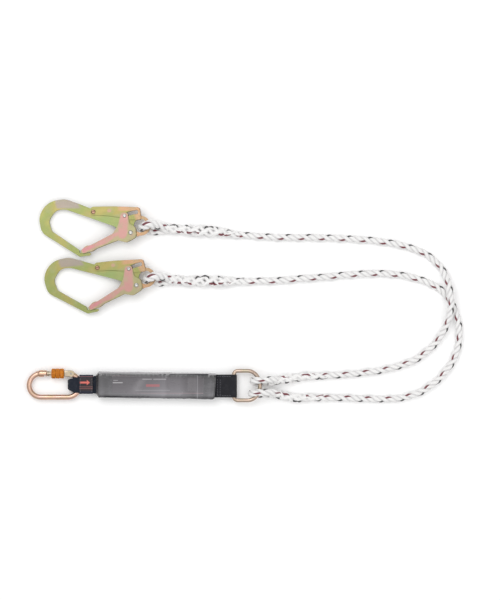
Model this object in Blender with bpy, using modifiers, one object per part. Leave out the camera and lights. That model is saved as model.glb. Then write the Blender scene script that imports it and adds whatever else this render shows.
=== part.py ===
"""Twin-leg shock absorbing lanyard, laid flat on a surface.

Metres, +Z up. The origin is the centre of the absorber pack's flat underside. +X runs from the
carabiner towards the D-ring, and the two rope legs turn round at the far right and come back to the
scaffold hooks. Driving dimensions are in millimetres and are turned into metres where shapes are made.
"""

import math

import bmesh
import bpy
from mathutils import Matrix, Vector

MM = 0.001
GAP = 0.3

# Rope
ROPE_D = 14.0
ROPE_Z = ROPE_D / 2 + 0.2
ROPE_STEP = 36.0
ROPE_SIDES = 2

# Absorber pack
PACK_LENGTH, PACK_WIDTH, PACK_HEIGHT = 230.4, 51.6, 26.0
FILM = 0.8
TEAR_WIDTH, TEAR_LENGTH = 45.0, 206.0
LABEL_X = (-82.0, 94.0)
LABEL_WIDTH = 38.0
LABEL_T = 0.3

# Webbing
WEB_T = 2.0
FRONT_WIDTH, REAR_WIDTH = 30.0, 44.0
FRONT_END_X = -169.3
TAG_X = (-146.4, -120.0)
TAG_WIDTH, TAG_WALL = 36.6, 1.0
PACK_MID_Z = PACK_HEIGHT / 2

# Carabiner: two half-circle bends joined by straights
CARABINER_WIRE_R = 5.0
BEND_R = 22.75
BEND_X = (-169.3, -221.0)
CARABINER_Z = 9.9
HINGE_X = -163.0
FORK_R = 6.0
TONGUE_HALF = 2.6
NOSE_X = (-227.4, -210.0)
NOSE_R = 6.75
GATE_ROD_R = 4.1
SLEEVE_X = (-200.5, -176.6)
SLEEVE_R = 9.5
SLEEVE_BORE_R = 4.6
SLEEVE_MOUTH_R, SLEEVE_MOUTH_DEPTH = 8.0, 15.0
LATCH_PIN_X = -213.4

# D-ring
RING_WIRE_R = 3.8
RING_BAR_X = 150.5
RING_HALF_WIDTH = 28.4
RING_STRAIGHT_X = 178.0
RING_BOW_X = 201.2
RING_MID_Y = -0.4
RING_BOW_Z = 18.7

# Scaffold hook, in its own frame: origin at the centre of the rope hole, +X towards the rope
PLATE_HALF = 4.0
LEVER_IN, LEVER_OUT = 4.3, 6.3
GATE_IN, GATE_OUT = 6.6, 8.6
HOLE_R, RIM_R = 13.0, 19.0
GATE_PIVOT = (-18.5, -13.2)
LEVER_PIVOT = (-90.9, 26.6)
LATCH_PIN = (-30.3, 19.3)
PIN_R, RIVET_R = 3.0, 3.4
GATE_TRAVEL, LEVER_TRAVEL = math.radians(30), math.radians(3.4)
HOOK_TILT = math.radians(-4.1)
TAIL_Z = 18.4
# name: rope hole centre, turn in the plane, and the point where the rope eye's two strands meet
HOOKS = {
    "a": ((-28.6, 307.3), 0.0, (20.0, 301.5)),
    "b": ((-18.8, 207.8), math.radians(5.0), (29.0, 203.0)),
}
THROAT_R = 10.2

# Rope routes, from the hook's splice to the ring's splice: x, y, height of the rope's middle
ROUTE_A = [
    (114, 296, 12.7), (134, 294, 9.5), (162, 290, ROPE_Z), (201, 287, ROPE_Z), (240, 285, ROPE_Z),
    (317, 284.5, ROPE_Z), (394, 281, ROPE_Z), (433, 277, ROPE_Z), (471, 270.5, ROPE_Z),
    (510, 258, ROPE_Z), (530, 246, ROPE_Z), (548, 229, 8.0), (557, 213, 12.5), (563, 197, 18.0),
    (566.5, 180, 21.5), (568.5, 160, 22.0), (567, 142, 20.5), (563, 124, 15.5), (555.5, 106, 10.0),
    (544, 87, 7.4), (526, 68, ROPE_Z), (500, 49, ROPE_Z), (471, 38, ROPE_Z), (433, 28.5, ROPE_Z),
    (394, 23.5, ROPE_Z), (355, 20, ROPE_Z), (332, 19, ROPE_Z), (300, 17.5, 8.5), (262, 14, 10.5),
]
ROUTE_B = [
    (124, 201, 12.0), (144, 200.5, 9.0), (172, 200, ROPE_Z), (201, 201, ROPE_Z), (240, 202, ROPE_Z),
    (278, 205.5, ROPE_Z), (317, 208, ROPE_Z), (355, 211.5, ROPE_Z), (394, 214.5, ROPE_Z),
    (433, 215.5, ROPE_Z), (471, 212.5, ROPE_Z), (510, 203.5, ROPE_Z), (540, 190.5, ROPE_Z),
    (557, 177, ROPE_Z), (569, 160, ROPE_Z), (579, 138, ROPE_Z), (584, 116, ROPE_Z),
    (585, 94, ROPE_Z), (581, 68, ROPE_Z), (573, 48, ROPE_Z), (560, 28, ROPE_Z), (542, 9, ROPE_Z),
    (510, -13, ROPE_Z), (471, -24.5, ROPE_Z), (433, -26.5, ROPE_Z), (394, -25.5, ROPE_Z),
    (355, -24, ROPE_Z), (326, -23.2, ROPE_Z), (296, -22.3, 8.5), (262, -20, 10.5),
]
HOOK_SPLICE_R = (10.2, 10.0, 12.6, 12.4, 9.0, 7.2)
RING_SPLICE_R = (9.6, 9.6, 8.6, 7.4)
RING_SPLICE_X, RING_EYE_END_X = 226.5, 222.5
RING_EYE_Y = {"a": 8.0, "b": -12.4}


# ---------------------------------------------------------------- scene and materials


def clear_scene():
    for obj in list(bpy.data.objects):
        bpy.data.objects.remove(obj)


def collection(name):
    made = bpy.data.collections.new(name)
    bpy.context.scene.collection.children.link(made)
    return made


def material(name, colour, roughness, metallic=0.0, alpha=1.0):
    made = bpy.data.materials.new(name)
    made.use_nodes = True
    shader = made.node_tree.nodes["Principled BSDF"]
    shader.inputs["Base Color"].default_value = (*colour, 1)
    shader.inputs["Roughness"].default_value = roughness
    shader.inputs["Metallic"].default_value = metallic
    shader.inputs["Alpha"].default_value = alpha
    return made


def put(obj, name, mat, parent=None):
    """Names the object, gives it its material and parent, and files it with the parts."""
    obj.name = name
    obj.data.name = name
    PARTS.objects.link(obj)
    obj.data.materials.append(mat)
    obj.parent = parent
    obj.data.shade_smooth()
    obj.data.set_sharp_from_angle(angle=math.radians(35))
    return obj


def frame_empty(name, location, turn=0.0, tilt=0.0):
    """An empty on a joint or a sub-assembly's own frame, with its pieces parented to it."""
    obj = bpy.data.objects.new(name, None)
    obj.matrix_world = (
        Matrix.Translation(Vector(location) * MM)
        @ Matrix.Rotation(turn, 4, "Z")
        @ Matrix.Rotation(tilt, 4, "Y")
    )
    PARTS.objects.link(obj)
    return obj


# ---------------------------------------------------------------- points


def arc(cx, cy, radius, start, end, steps):
    """Points along an arc, angles in degrees."""
    angles = [math.radians(start + (end - start) * i / steps) for i in range(steps + 1)]
    return [(cx + radius * math.cos(a), cy + radius * math.sin(a)) for a in angles]


def rounded(corners, turn_step=18.0):
    """A closed outline from corners (x, y, radius), each one rounded to its radius."""
    points = []
    for i, (x, y, radius) in enumerate(corners):
        here = Vector((x, y))
        before = (Vector(corners[i - 1][:2]) - here).normalized()
        after = (Vector(corners[(i + 1) % len(corners)][:2]) - here).normalized()
        half = before.angle(after) / 2
        if radius == 0 or half > math.radians(88):
            points.append((x, y))
            continue
        middle = here + (before + after).normalized() * radius / math.sin(half)
        first = here + before * radius / math.tan(half) - middle
        last = here + after * radius / math.tan(half) - middle
        sweep = first.angle_signed(last)
        steps = max(2, round(abs(math.degrees(sweep)) / turn_step))
        for k in range(steps + 1):
            spun = Matrix.Rotation(-sweep * k / steps, 2) @ first
            points.append(tuple(middle + spun))
    return points


def turned(point, centre, angle):
    spun = Matrix.Rotation(angle, 2) @ (Vector(point) - Vector(centre))
    return tuple(Vector(centre) + spun)


def smooth_path(route, step):
    """Points about a step apart on a smooth curve through the route's points."""
    knots = [Vector(p) for p in route]
    ends = [2 * knots[0] - knots[1], *knots, 2 * knots[-1] - knots[-2]]
    dense = []
    for p0, p1, p2, p3 in zip(ends, ends[1:], ends[2:], ends[3:]):
        for k in range(12):
            t = k / 12
            dense.append(
                p1
                + 0.5 * t * (p2 - p0)
                + t * t * (p0 - 2.5 * p1 + 2 * p2 - 0.5 * p3)
                + t**3 * (1.5 * (p1 - p2) + 0.5 * (p3 - p0))
            )
    dense.append(knots[-1])
    length = sum((b - a).length for a, b in zip(dense, dense[1:]))
    count = max(2, round(length / step))
    path, run, target = [dense[0]], 0.0, length / count
    for a, b in zip(dense, dense[1:]):
        piece = (b - a).length
        while run + piece >= target - 1e-6 and len(path) < count:
            path.append(a.lerp(b, (target - run) / piece))
            target += length / count
        run += piece
    return [*path, dense[-1]]


# ---------------------------------------------------------------- shapes


def curve_mesh(curve, name):
    """The curve as a welded mesh object, and the curve removed."""
    guide = bpy.data.objects.new(name + "_guide", curve)
    bpy.context.scene.collection.objects.link(guide)
    bpy.context.view_layer.update()
    graph = bpy.context.evaluated_depsgraph_get()
    mesh = bpy.data.meshes.new_from_object(guide.evaluated_get(graph))
    body = bmesh.new()
    body.from_mesh(mesh)
    bmesh.ops.remove_doubles(body, verts=body.verts, dist=1e-6)
    bmesh.ops.recalc_face_normals(body, faces=body.faces)
    body.to_mesh(mesh)
    body.free()
    bpy.data.objects.remove(guide)
    bpy.data.curves.remove(curve)
    return bpy.data.objects.new(name, mesh)


def plate(name, outline, low, high, holes=()):
    """A flat outline in the XY plane, from height low to high, with holes through it."""
    curve = bpy.data.curves.new(name, "CURVE")
    curve.dimensions = "2D"
    curve.fill_mode = "BOTH"
    curve.extrude = (high - low) / 2 * MM
    for ring in (outline, *holes):
        spline = curve.splines.new("POLY")
        spline.points.add(len(ring) - 1)
        for point, (x, y) in zip(spline.points, ring):
            point.co = (x * MM, y * MM, 0, 1)
        spline.use_cyclic_u = True
    obj = curve_mesh(curve, name)
    obj.data.transform(Matrix.Translation((0, 0, (low + high) / 2 * MM)))
    return obj


def tube(name, path, radius, cyclic=False, sides=ROPE_SIDES, radii=None):
    """A round bar along a path, with filled ends. radii scales it from point to point."""
    curve = bpy.data.curves.new(name, "CURVE")
    curve.dimensions = "3D"
    curve.bevel_depth = radius * MM
    curve.bevel_resolution = sides
    curve.use_fill_caps = not cyclic
    spline = curve.splines.new("POLY")
    spline.points.add(len(path) - 1)
    for i, (point, place) in enumerate(zip(spline.points, path)):
        point.co = (*(Vector(place) * MM), 1)
        point.radius = radii[i] / radius if radii else 1.0
    spline.use_cyclic_u = cyclic
    return curve_mesh(curve, name)


def cylinder(name, radius, length, middle, axis="Z", sides=24):
    body = bmesh.new()
    bmesh.ops.create_cone(
        body, cap_ends=True, segments=sides, radius1=radius * MM, radius2=radius * MM,
        depth=length * MM,
    )
    turn = {"Z": Matrix(), "X": Matrix.Rotation(math.pi / 2, 4, "Y"),
            "Y": Matrix.Rotation(math.pi / 2, 4, "X")}[axis]
    return from_bmesh(name, body, Matrix.Translation(Vector(middle) * MM) @ turn)


def box(name, low, high):
    body = bmesh.new()
    bmesh.ops.create_cube(body, size=1.0)
    size = (Vector(high) - Vector(low)) * MM
    middle = (Vector(high) + Vector(low)) / 2 * MM
    return from_bmesh(name, body, Matrix.Translation(middle) @ Matrix.Diagonal((*size, 1)))


def from_bmesh(name, body, matrix):
    mesh = bpy.data.meshes.new(name)
    body.to_mesh(mesh)
    body.free()
    mesh.transform(matrix)
    return bpy.data.objects.new(name, mesh)


def strap(name, path, width, mid_y=0.0, narrow=lambda x: 1.0):
    """Webbing: a path in the XZ plane, drawn out to its width and given its thickness."""
    body = bmesh.new()
    rows = []
    for side in (-0.5, 0.5):
        edge = [(x, mid_y + side * width * narrow(x), z) for x, z in path]
        rows.append([body.verts.new(Vector(point) * MM) for point in edge])
    for i in range(len(path) - 1):
        body.faces.new((rows[0][i], rows[0][i + 1], rows[1][i + 1], rows[1][i]))
    obj = from_bmesh(name, body, Matrix())
    solid = obj.modifiers.new("thickness", "SOLIDIFY")
    solid.thickness = WEB_T * MM
    solid.offset = 0
    return obj


def combine(obj, tool, operation):
    """Adds a Boolean of the tool, which is filed with the cutters and follows the same parent."""
    CUTTERS.objects.link(tool)
    tool.hide_render = True
    tool.display_type = "WIRE"
    modifier = obj.modifiers.new(tool.name, "BOOLEAN")
    modifier.operation = operation
    modifier.solver = "EXACT"
    modifier.object = tool
    return tool


def cut(obj, *tools):
    for tool in tools:
        combine(obj, tool, "DIFFERENCE").parent = obj.parent


def join(obj, *tools):
    for tool in tools:
        combine(obj, tool, "UNION").parent = obj.parent


# ---------------------------------------------------------------- absorber


def make_absorber(mats):
    half, rise = PACK_WIDTH / 2, PACK_HEIGHT
    profile = rounded([(-half, 0, 5), (half, 0, 5), (half, rise, 9), (-half, rise, 9)])
    inner = rounded([
        (-half + FILM, FILM, 4.2), (half - FILM, FILM, 4.2),
        (half - FILM, rise - FILM, 8.2), (-half + FILM, rise - FILM, 8.2),
    ])
    cover = plate("absorber_cover", profile, -PACK_LENGTH / 2, PACK_LENGTH / 2, [inner])
    cover.data.transform(SECTION_TO_X)
    put(cover, "absorber_cover", mats["film"])

    depth = (TEAR_WIDTH / 2, FILM + GAP, PACK_HEIGHT - FILM - GAP)
    stack = rounded([
        (-depth[0], depth[1], 4), (depth[0], depth[1], 4),
        (depth[0], depth[2], 8), (-depth[0], depth[2], 8),
    ])
    tear = plate("tear_webbing_pack", stack, -TEAR_LENGTH / 2, TEAR_LENGTH / 2)
    tear.data.transform(SECTION_TO_X)
    put(tear, "tear_webbing_pack", mats["webbing"])

    top = PACK_HEIGHT + GAP
    label = plate(
        "instruction_label",
        rounded([(LABEL_X[0], -LABEL_WIDTH / 2 + 4, 2), (LABEL_X[1], -LABEL_WIDTH / 2 + 4, 2),
                 (LABEL_X[1], LABEL_WIDTH / 2 - 4, 2), (LABEL_X[0], LABEL_WIDTH / 2 - 4, 2)]),
        top, top + LABEL_T,
    )
    put(label, "instruction_label", mats["label"])


def loop_path(tail_x, tail_z, eye_x, eye_z, eye_r, towards, slack=0.0):
    """The two layers of a webbing loop: side by side at the tail, and round an eye at the end."""
    apart = (WEB_T + GAP) / 2
    r = eye_r + GAP + 0.2 + WEB_T / 2
    end_x = eye_x + towards * slack
    start = [(tail_x, tail_z + apart), (tail_x + towards * 14, tail_z + apart)]
    top = [(eye_x - towards * 6, eye_z + r)]
    angles = [90 - 22.5 * k for k in range(9)]
    bend = [
        (end_x + towards * r * math.cos(math.radians(a)), eye_z + r * math.sin(math.radians(a)))
        for a in angles
    ]
    bottom = [(eye_x - towards * 6, eye_z - r)]
    finish = [(tail_x + towards * 14, tail_z - apart), (tail_x, tail_z - apart)]
    return start + top + bend + bottom + finish


def folded_corner(x):
    """How wide the front loop is at x, as a share of its width: its free end is folded narrower."""
    return 1.0 if x > FRONT_END_X + 9 else 0.82


def make_webbing(mats):
    tail = TEAR_LENGTH / 2 + GAP
    slack = BEND_X[0] + BEND_R - FRONT_END_X - CARABINER_WIRE_R - GAP - WEB_T
    front = loop_path(
        -tail, PACK_MID_Z, BEND_X[0] + BEND_R, CARABINER_Z, CARABINER_WIRE_R, -1, slack
    )
    put(strap("front_webbing_loop", front, FRONT_WIDTH, narrow=folded_corner), "front_webbing_loop",
        mats["webbing"])

    rear = loop_path(tail, PACK_MID_Z, RING_BAR_X, PACK_MID_Z, RING_WIRE_R, 1)
    put(strap("rear_webbing_loop", rear, REAR_WIDTH, RING_MID_Y), "rear_webbing_loop",
        mats["webbing"])

    reach = CARABINER_WIRE_R + GAP + WEB_T + GAP
    low, high = CARABINER_Z - reach, CARABINER_Z + reach + 0.6
    side = TAG_WIDTH / 2
    outer = rounded([
        (-side, low - TAG_WALL, 3), (side, low - TAG_WALL, 3),
        (side, high + TAG_WALL, 3), (-side, high + TAG_WALL, 3),
    ])
    inner = rounded([
        (-side + TAG_WALL, low, 2), (side - TAG_WALL, low, 2),
        (side - TAG_WALL, high, 2), (-side + TAG_WALL, high, 2),
    ])
    tag = plate("direction_tag", outer, *TAG_X, [inner])
    tag.data.transform(SECTION_TO_X)
    put(tag, "direction_tag", mats["tag"])


# ---------------------------------------------------------------- carabiner


def make_carabiner(mats):
    """In its own frame: origin at the centre of the right-hand bend, gate along the +Y side."""
    frame = frame_empty("carabiner_frame", (BEND_X[0], 0, CARABINER_Z))
    left = BEND_X[1] - BEND_X[0]
    hinge, latch = HINGE_X - BEND_X[0], LATCH_PIN_X - BEND_X[0]
    nose = [x - BEND_X[0] for x in NOSE_X]
    sleeve = [x - BEND_X[0] for x in SLEEVE_X]
    side = BEND_R

    path = arc(left, 0, BEND_R, 90, 270, 12) + arc(0, 0, BEND_R, -90, 70, 11)
    path = [(left + 4, side), *path]
    body = tube("carabiner_body", [(x, y, 0) for x, y in path], CARABINER_WIRE_R, sides=3)
    put(body, "carabiner_body", mats["carabiner"], frame)
    join(body, cylinder("nose_block", NOSE_R, nose[1] - nose[0], ((nose[0] + nose[1]) / 2, side, 0),
                        "X"))
    join(body, cylinder("hinge_tongue", FORK_R, 2 * TONGUE_HALF, (hinge, side, 0)))
    for end in (-1, 1):
        recess = cylinder(f"fork_recess_{end + 1}", FORK_R + 0.7, 6, (hinge, side, end * 5.7), sides=28)
        cut(body, recess)
    cut(
        body,
        cylinder("tongue_hole", 1.8, 12, (hinge, side, 0), sides=16),
        box("nose_slot", (nose[1] - 7.2, side - 9, -2.6), (nose[1] + 1, side + 9, 2.6)),
        box("pin_groove", (latch - 1.8, side - 9, -6.0), (latch + 1.8, side + 1.7, 6.0)),
    )

    fork_end = sleeve[1] + 0.4
    gate = box("carabiner_gate", (fork_end, side - FORK_R, -6.5), (hinge, side + FORK_R, 6.5))
    put(gate, "carabiner_gate", mats["steel"], frame)
    rod_end = nose[1] + 0.5
    join(
        gate,
        cylinder("fork_round", FORK_R, 13.0, (hinge, side, 0), sides=28),
        cylinder("gate_rod", GATE_ROD_R, fork_end + 1 - rod_end, ((fork_end + 1 + rod_end) / 2, side, 0),
                 "X"),
        box("gate_tip", (latch - 2.6, side - 3.4, -2.2), (rod_end + 1, side + 3.4, 2.2)),
    )
    bore_end = hinge - FORK_R - 0.6
    cut(
        gate,
        box("fork_slot", (bore_end, side - 8, -3.0), (hinge + 8, side + 8, 3.0)),
        cylinder("spring_bore", 2.4, 18, (bore_end - 8, side, 0), "X", sides=16),
        cylinder("fork_holes", 1.8, 20, (hinge, side, 0), sides=16),
        cylinder("latch_hole", 1.6, 20, (latch, side, 0), sides=16),
    )

    put(cylinder("gate_hinge_pin", 1.5, 12.8, (hinge, side, 0), sides=16), "gate_hinge_pin",
        mats["steel"], frame)
    put(cylinder("gate_latch_pin", 1.3, 11.2, (latch, side, 0), sides=16), "gate_latch_pin",
        mats["steel"], frame)
    tip = hinge - FORK_R - GAP
    put(cylinder("gate_plunger", 2.0, 5.0, (tip - 2.5, side, 0), "X", sides=16), "gate_plunger",
        mats["steel"], frame)
    coil_start, coil_end, turns = tip - 5.0 - GAP - 0.35, bore_end - 16.6, 5
    count = turns * 8
    coil = [
        (
            coil_start + (coil_end - coil_start) * k / count,
            side + 1.75 * math.cos(2 * math.pi * k / 8),
            1.75 * math.sin(2 * math.pi * k / 8),
        )
        for k in range(count + 1)
    ]
    put(tube("gate_spring", coil, 0.3, sides=0), "gate_spring", mats["steel"], frame)

    tube_length = sleeve[1] - sleeve[0]
    knurled = cylinder("screw_sleeve", SLEEVE_R, tube_length, (sum(sleeve) / 2, side, 0), "X", 32)
    put(knurled, "screw_sleeve", mats["sleeve"], frame)
    cut(
        knurled,
        cylinder("sleeve_bore", SLEEVE_BORE_R, 40, (sum(sleeve) / 2, side, 0), "X", 24),
        cylinder("sleeve_mouth", SLEEVE_MOUTH_R, 2 * SLEEVE_MOUTH_DEPTH, (sleeve[0], side, 0), "X", 24),
    )


# ---------------------------------------------------------------- ring


def make_ring(mats):
    """The D-ring, tilted up from its straight bar to its bow."""
    length = RING_BOW_X - RING_BAR_X
    tilt = -math.asin((RING_BOW_Z - PACK_MID_Z) / length)
    frame = frame_empty("ring_frame", (RING_BAR_X, RING_MID_Y, PACK_MID_Z), tilt=tilt)
    straight, w, corner = RING_STRAIGHT_X - RING_BAR_X, RING_HALF_WIDTH, 8.0
    path = arc(corner, w - corner, corner, 180, 90, 4)
    bow_depth = length - straight
    path += [
        (straight + bow_depth * math.sin(math.radians(a)), w * math.cos(math.radians(a)))
        for a in range(0, 181, 12)
    ]
    path += arc(corner, -w + corner, corner, 270, 180, 4)
    ring = tube("d_ring", [(x, y, 0) for x, y in path], RING_WIRE_R, cyclic=True, sides=2)
    put(ring, "d_ring", mats["carabiner"], frame)


# ---------------------------------------------------------------- rope


def bow_at(y):
    """Where the middle of the ring's bow is along X, at this distance across."""
    across = (y - RING_MID_Y) / RING_HALF_WIDTH
    return RING_STRAIGHT_X + (RING_BOW_X - RING_STRAIGHT_X) * math.sqrt(1 - across * across)


def lifted(path, radii):
    """The path, raised where a bar of these radii would reach below the surface."""
    return [(p[0], p[1], max(p[2], r + GAP)) for p, r in zip(path, radii)]


def make_rope(mats):
    bow_reach = RING_WIRE_R + ROPE_D / 2 + 0.9
    for side, route in (("a", ROUTE_A), ("b", ROUTE_B)):
        eye_y = RING_EYE_Y[side]
        bow_x = min(bow_at(eye_y - 4), bow_at(eye_y + 4))
        crown = [
            (bow_x + bow_reach * math.cos(math.radians(a)), RING_BOW_Z + bow_reach * math.sin(math.radians(a)))
            for a in range(-90, -271, -30)
        ]
        low = [(RING_EYE_END_X, 8.0), (212, 7.4)]
        high = [(212, RING_BOW_Z + bow_reach - 0.4), (RING_EYE_END_X, 25.0)]
        ring_path = low + crown + high
        slant = [-3.2 + 6.4 * i / (len(ring_path) - 1) for i in range(len(ring_path))]
        eye = tube(
            "ring_eye_" + side, [(x, eye_y + dy, z) for (x, z), dy in zip(ring_path, slant)], ROPE_D / 2
        )
        put(eye, "ring_eye_" + side, mats["rope"])

        hook_start = HOOKS[side][2]
        first = (hook_start[0] + THROAT_R + 0.6, hook_start[1], THROAT_R + GAP)
        hook_route = [first, (first[0] + 25, first[1] - 2, 10.3), *route[:3]]
        make_splice("hook_splice_" + side, hook_route, HOOK_SPLICE_R, mats)

        ring_route = [*route[-3:], (RING_SPLICE_X, eye_y, 15.0)]
        make_splice("ring_splice_" + side, ring_route, RING_SPLICE_R[::-1], mats)

        leg = smooth_path([shifted(route[2], route[3]), *route[3:-3], shifted(route[-3], route[-4])],
                          ROPE_STEP)
        put(tube("rope_leg_" + side, leg, ROPE_D / 2), "rope_leg_" + side, mats["rope"])


def make_splice(name, route, profile, mats):
    """A tapered stretch of rope, thicker where the strands are tucked back into it."""
    path = smooth_path(route, 26)
    radii = spread(profile, len(path))
    put(tube(name, lifted(path, radii), ROPE_D / 2, radii=radii), name, mats["rope"])


def shifted(point, towards):
    """The point, moved towards the next one by the gap between two lengths of rope."""
    step = (Vector(towards) - Vector(point)).normalized() * 3 * GAP
    return tuple(Vector(point) + step)


def spread(values, count):
    """The values stretched evenly over count points."""
    out = []
    for i in range(count):
        at = i * (len(values) - 1) / (count - 1)
        k = min(int(at), len(values) - 2)
        out.append(values[k] + (values[k + 1] - values[k]) * (at - k))
    return out


def make_hook_eye(side, mats):
    """The spliced eye: one strand over the hook's rim, down through the hole, and back under it."""
    (hx, hy), _, (tx, ty) = HOOKS[side]
    drop = TAIL_Z + PLATE_HALF + ROPE_D / 2 + 1.6
    top = [
        (tx - 3, ty + 3, THROAT_R + GAP + 2), (tx - 18, ty + 8, 22.5), (hx + 18, hy + 3.4, drop + 0.9),
        (hx + 10, hy + 2, drop + 0.8), (hx + 0.5, hy - 1, 24), (hx - 2.5, hy - 3, TAIL_Z - 0.5),
    ]
    bottom = [
        (hx - 2.5, hy - 3, TAIL_Z + 1), (hx - 0.5, hy - 5, 12.5), (hx + 8, hy - 8, 7.6),
        (hx + 20, hy - 10.5, 7.3), (tx - 16, ty - 5.5, 8.2), (tx - 3, ty - 3, THROAT_R + GAP - 1.5),
    ]
    eye = tube("hook_eye_" + side, smooth_path(top, 9), ROPE_D / 2 - 0.2)
    put(eye, "hook_eye_" + side, mats["rope"])
    lower = tube("eye_lower_" + side, smooth_path(bottom, 9), ROPE_D / 2 - 0.2)
    body = bmesh.new()
    bmesh.ops.create_uvsphere(body, u_segments=16, v_segments=10, radius=THROAT_R * MM)
    place = Matrix.Translation(Vector((tx, ty, THROAT_R + GAP)) * MM)
    join(eye, lower, from_bmesh("eye_throat_" + side, body, place))


# ---------------------------------------------------------------- scaffold hooks


def hook_plate_outline():
    """The forged plate: rim, spine, bow and nose in one outline."""
    rim = arc(0, 0, RIM_R, -95, 112, 14)
    pin_bed = LATCH_PIN_DISTANCE - PIN_R - 0.5
    bed = arc(*GATE_PIVOT, pin_bed, 76, 117, 5)
    back = rounded([
        (bed[-1][0], bed[-1][1], 0), (-37.5, 26.4, 2), (-60, 29.6, 0), (-97, 33.5, 8),
        (-120, 42.5, 30), (-146, 51.8, 34), (-181, 46, 38), (-197.5, 17, 34), (-191, -13.5, 22),
        (-117.5, -59.6, 3), (-97, -57.0, 2), (-95.5, -52.3, 1.5), (-117.2, -52.2, 1),
        (-118.8, -46.3, 3), (-171.6, -10.4, 11),
        (-177.6, 10, 14), (-163, 31.5, 20), (-143.3, 31.1, 30), (-46.5, -2.8, 12), (-40.5, -24, 10),
        (-33, -32.5, 9), (-13, -24.5, 8), (rim[0][0], rim[0][1], 0),
    ])
    return rim + bed + back[1:-1]


def hook_gate_outline():
    return rounded([
        (-37.2, 25.4, 5.6), (-24.2, 25.4, 5.6), (-21.5, 4, 8), (-9.0, -3, 8), (-7.4, -22, 9),
        (-27, -32.6, 8), (-43, -28, 6), (-84.2, -43.6, 6), (-92, -49.0, 3), (-112.5, -54.0, 2.5),
        (-116.0, -48.8, 2.0), (-105, -38.4, 5), (-96, -37.4, 6), (-53.2, -15.4, 12), (-42.6, 2, 14),
    ])


def hook_lever_outline():
    return rounded([
        (-97.2, 20.4, 6), (-97.2, 36.6, 7), (-57, 37.4, 0), (-2.0, 35.6, 5), (2.0, 11.6, 3),
        (-25, 11.0, 3), (-38, 15.5, 6), (-60, 18.6, 10), (-78, 20, 8),
    ])


def window_outline():
    """The slot in the lever that the latch pin runs along as the gate and the lever turn."""
    steps = 6
    track = []
    for k in range(steps + 1):
        part = k / steps
        pin = turned(LATCH_PIN, GATE_PIVOT, -GATE_TRAVEL * part)
        track.append(Vector(turned(pin, LEVER_PIVOT, LEVER_TRAVEL * part)))
    track.append(track[-1] + (track[-1] - track[-2]) * 1.4)
    clear = PIN_R + 0.6
    sides = ([], [])
    for i, point in enumerate(track):
        along = (track[min(i + 1, len(track) - 1)] - track[max(i - 1, 0)]).normalized()
        across = Vector((-along.y, along.x)) * clear
        sides[0].append(tuple(point + across))
        sides[1].append(tuple(point - across))
    first, last = track[0], track[-1]
    start = math.degrees(math.atan2(*(Vector(sides[0][0]) - first).yx))
    end = math.degrees(math.atan2(*(Vector(sides[1][-1]) - last).yx))
    near = arc(*first, clear, start, start + 180, 6)[1:-1]
    far = arc(*last, clear, end, end + 180, 6)[1:-1]
    return sides[0][::-1] + near + sides[1] + far


def rivet(name, place, half, head_r, mats, frame):
    """A rivet through the whole stack: a shank with a wider head at each end."""
    x, y = place
    pin = cylinder(name, RIVET_R, 2 * half, (x, y, 0), sides=20)
    put(pin, name, mats["steel"], frame)
    for end in (-1, 1):
        join(pin, cylinder(f"{name}_head_{end + 1}", head_r, 1.4, (x, y, end * (half + 0.3)), sides=20))


def hole_through(name, place, radius):
    return cylinder(name, radius, 40, (*place, 0), sides=20)


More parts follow.
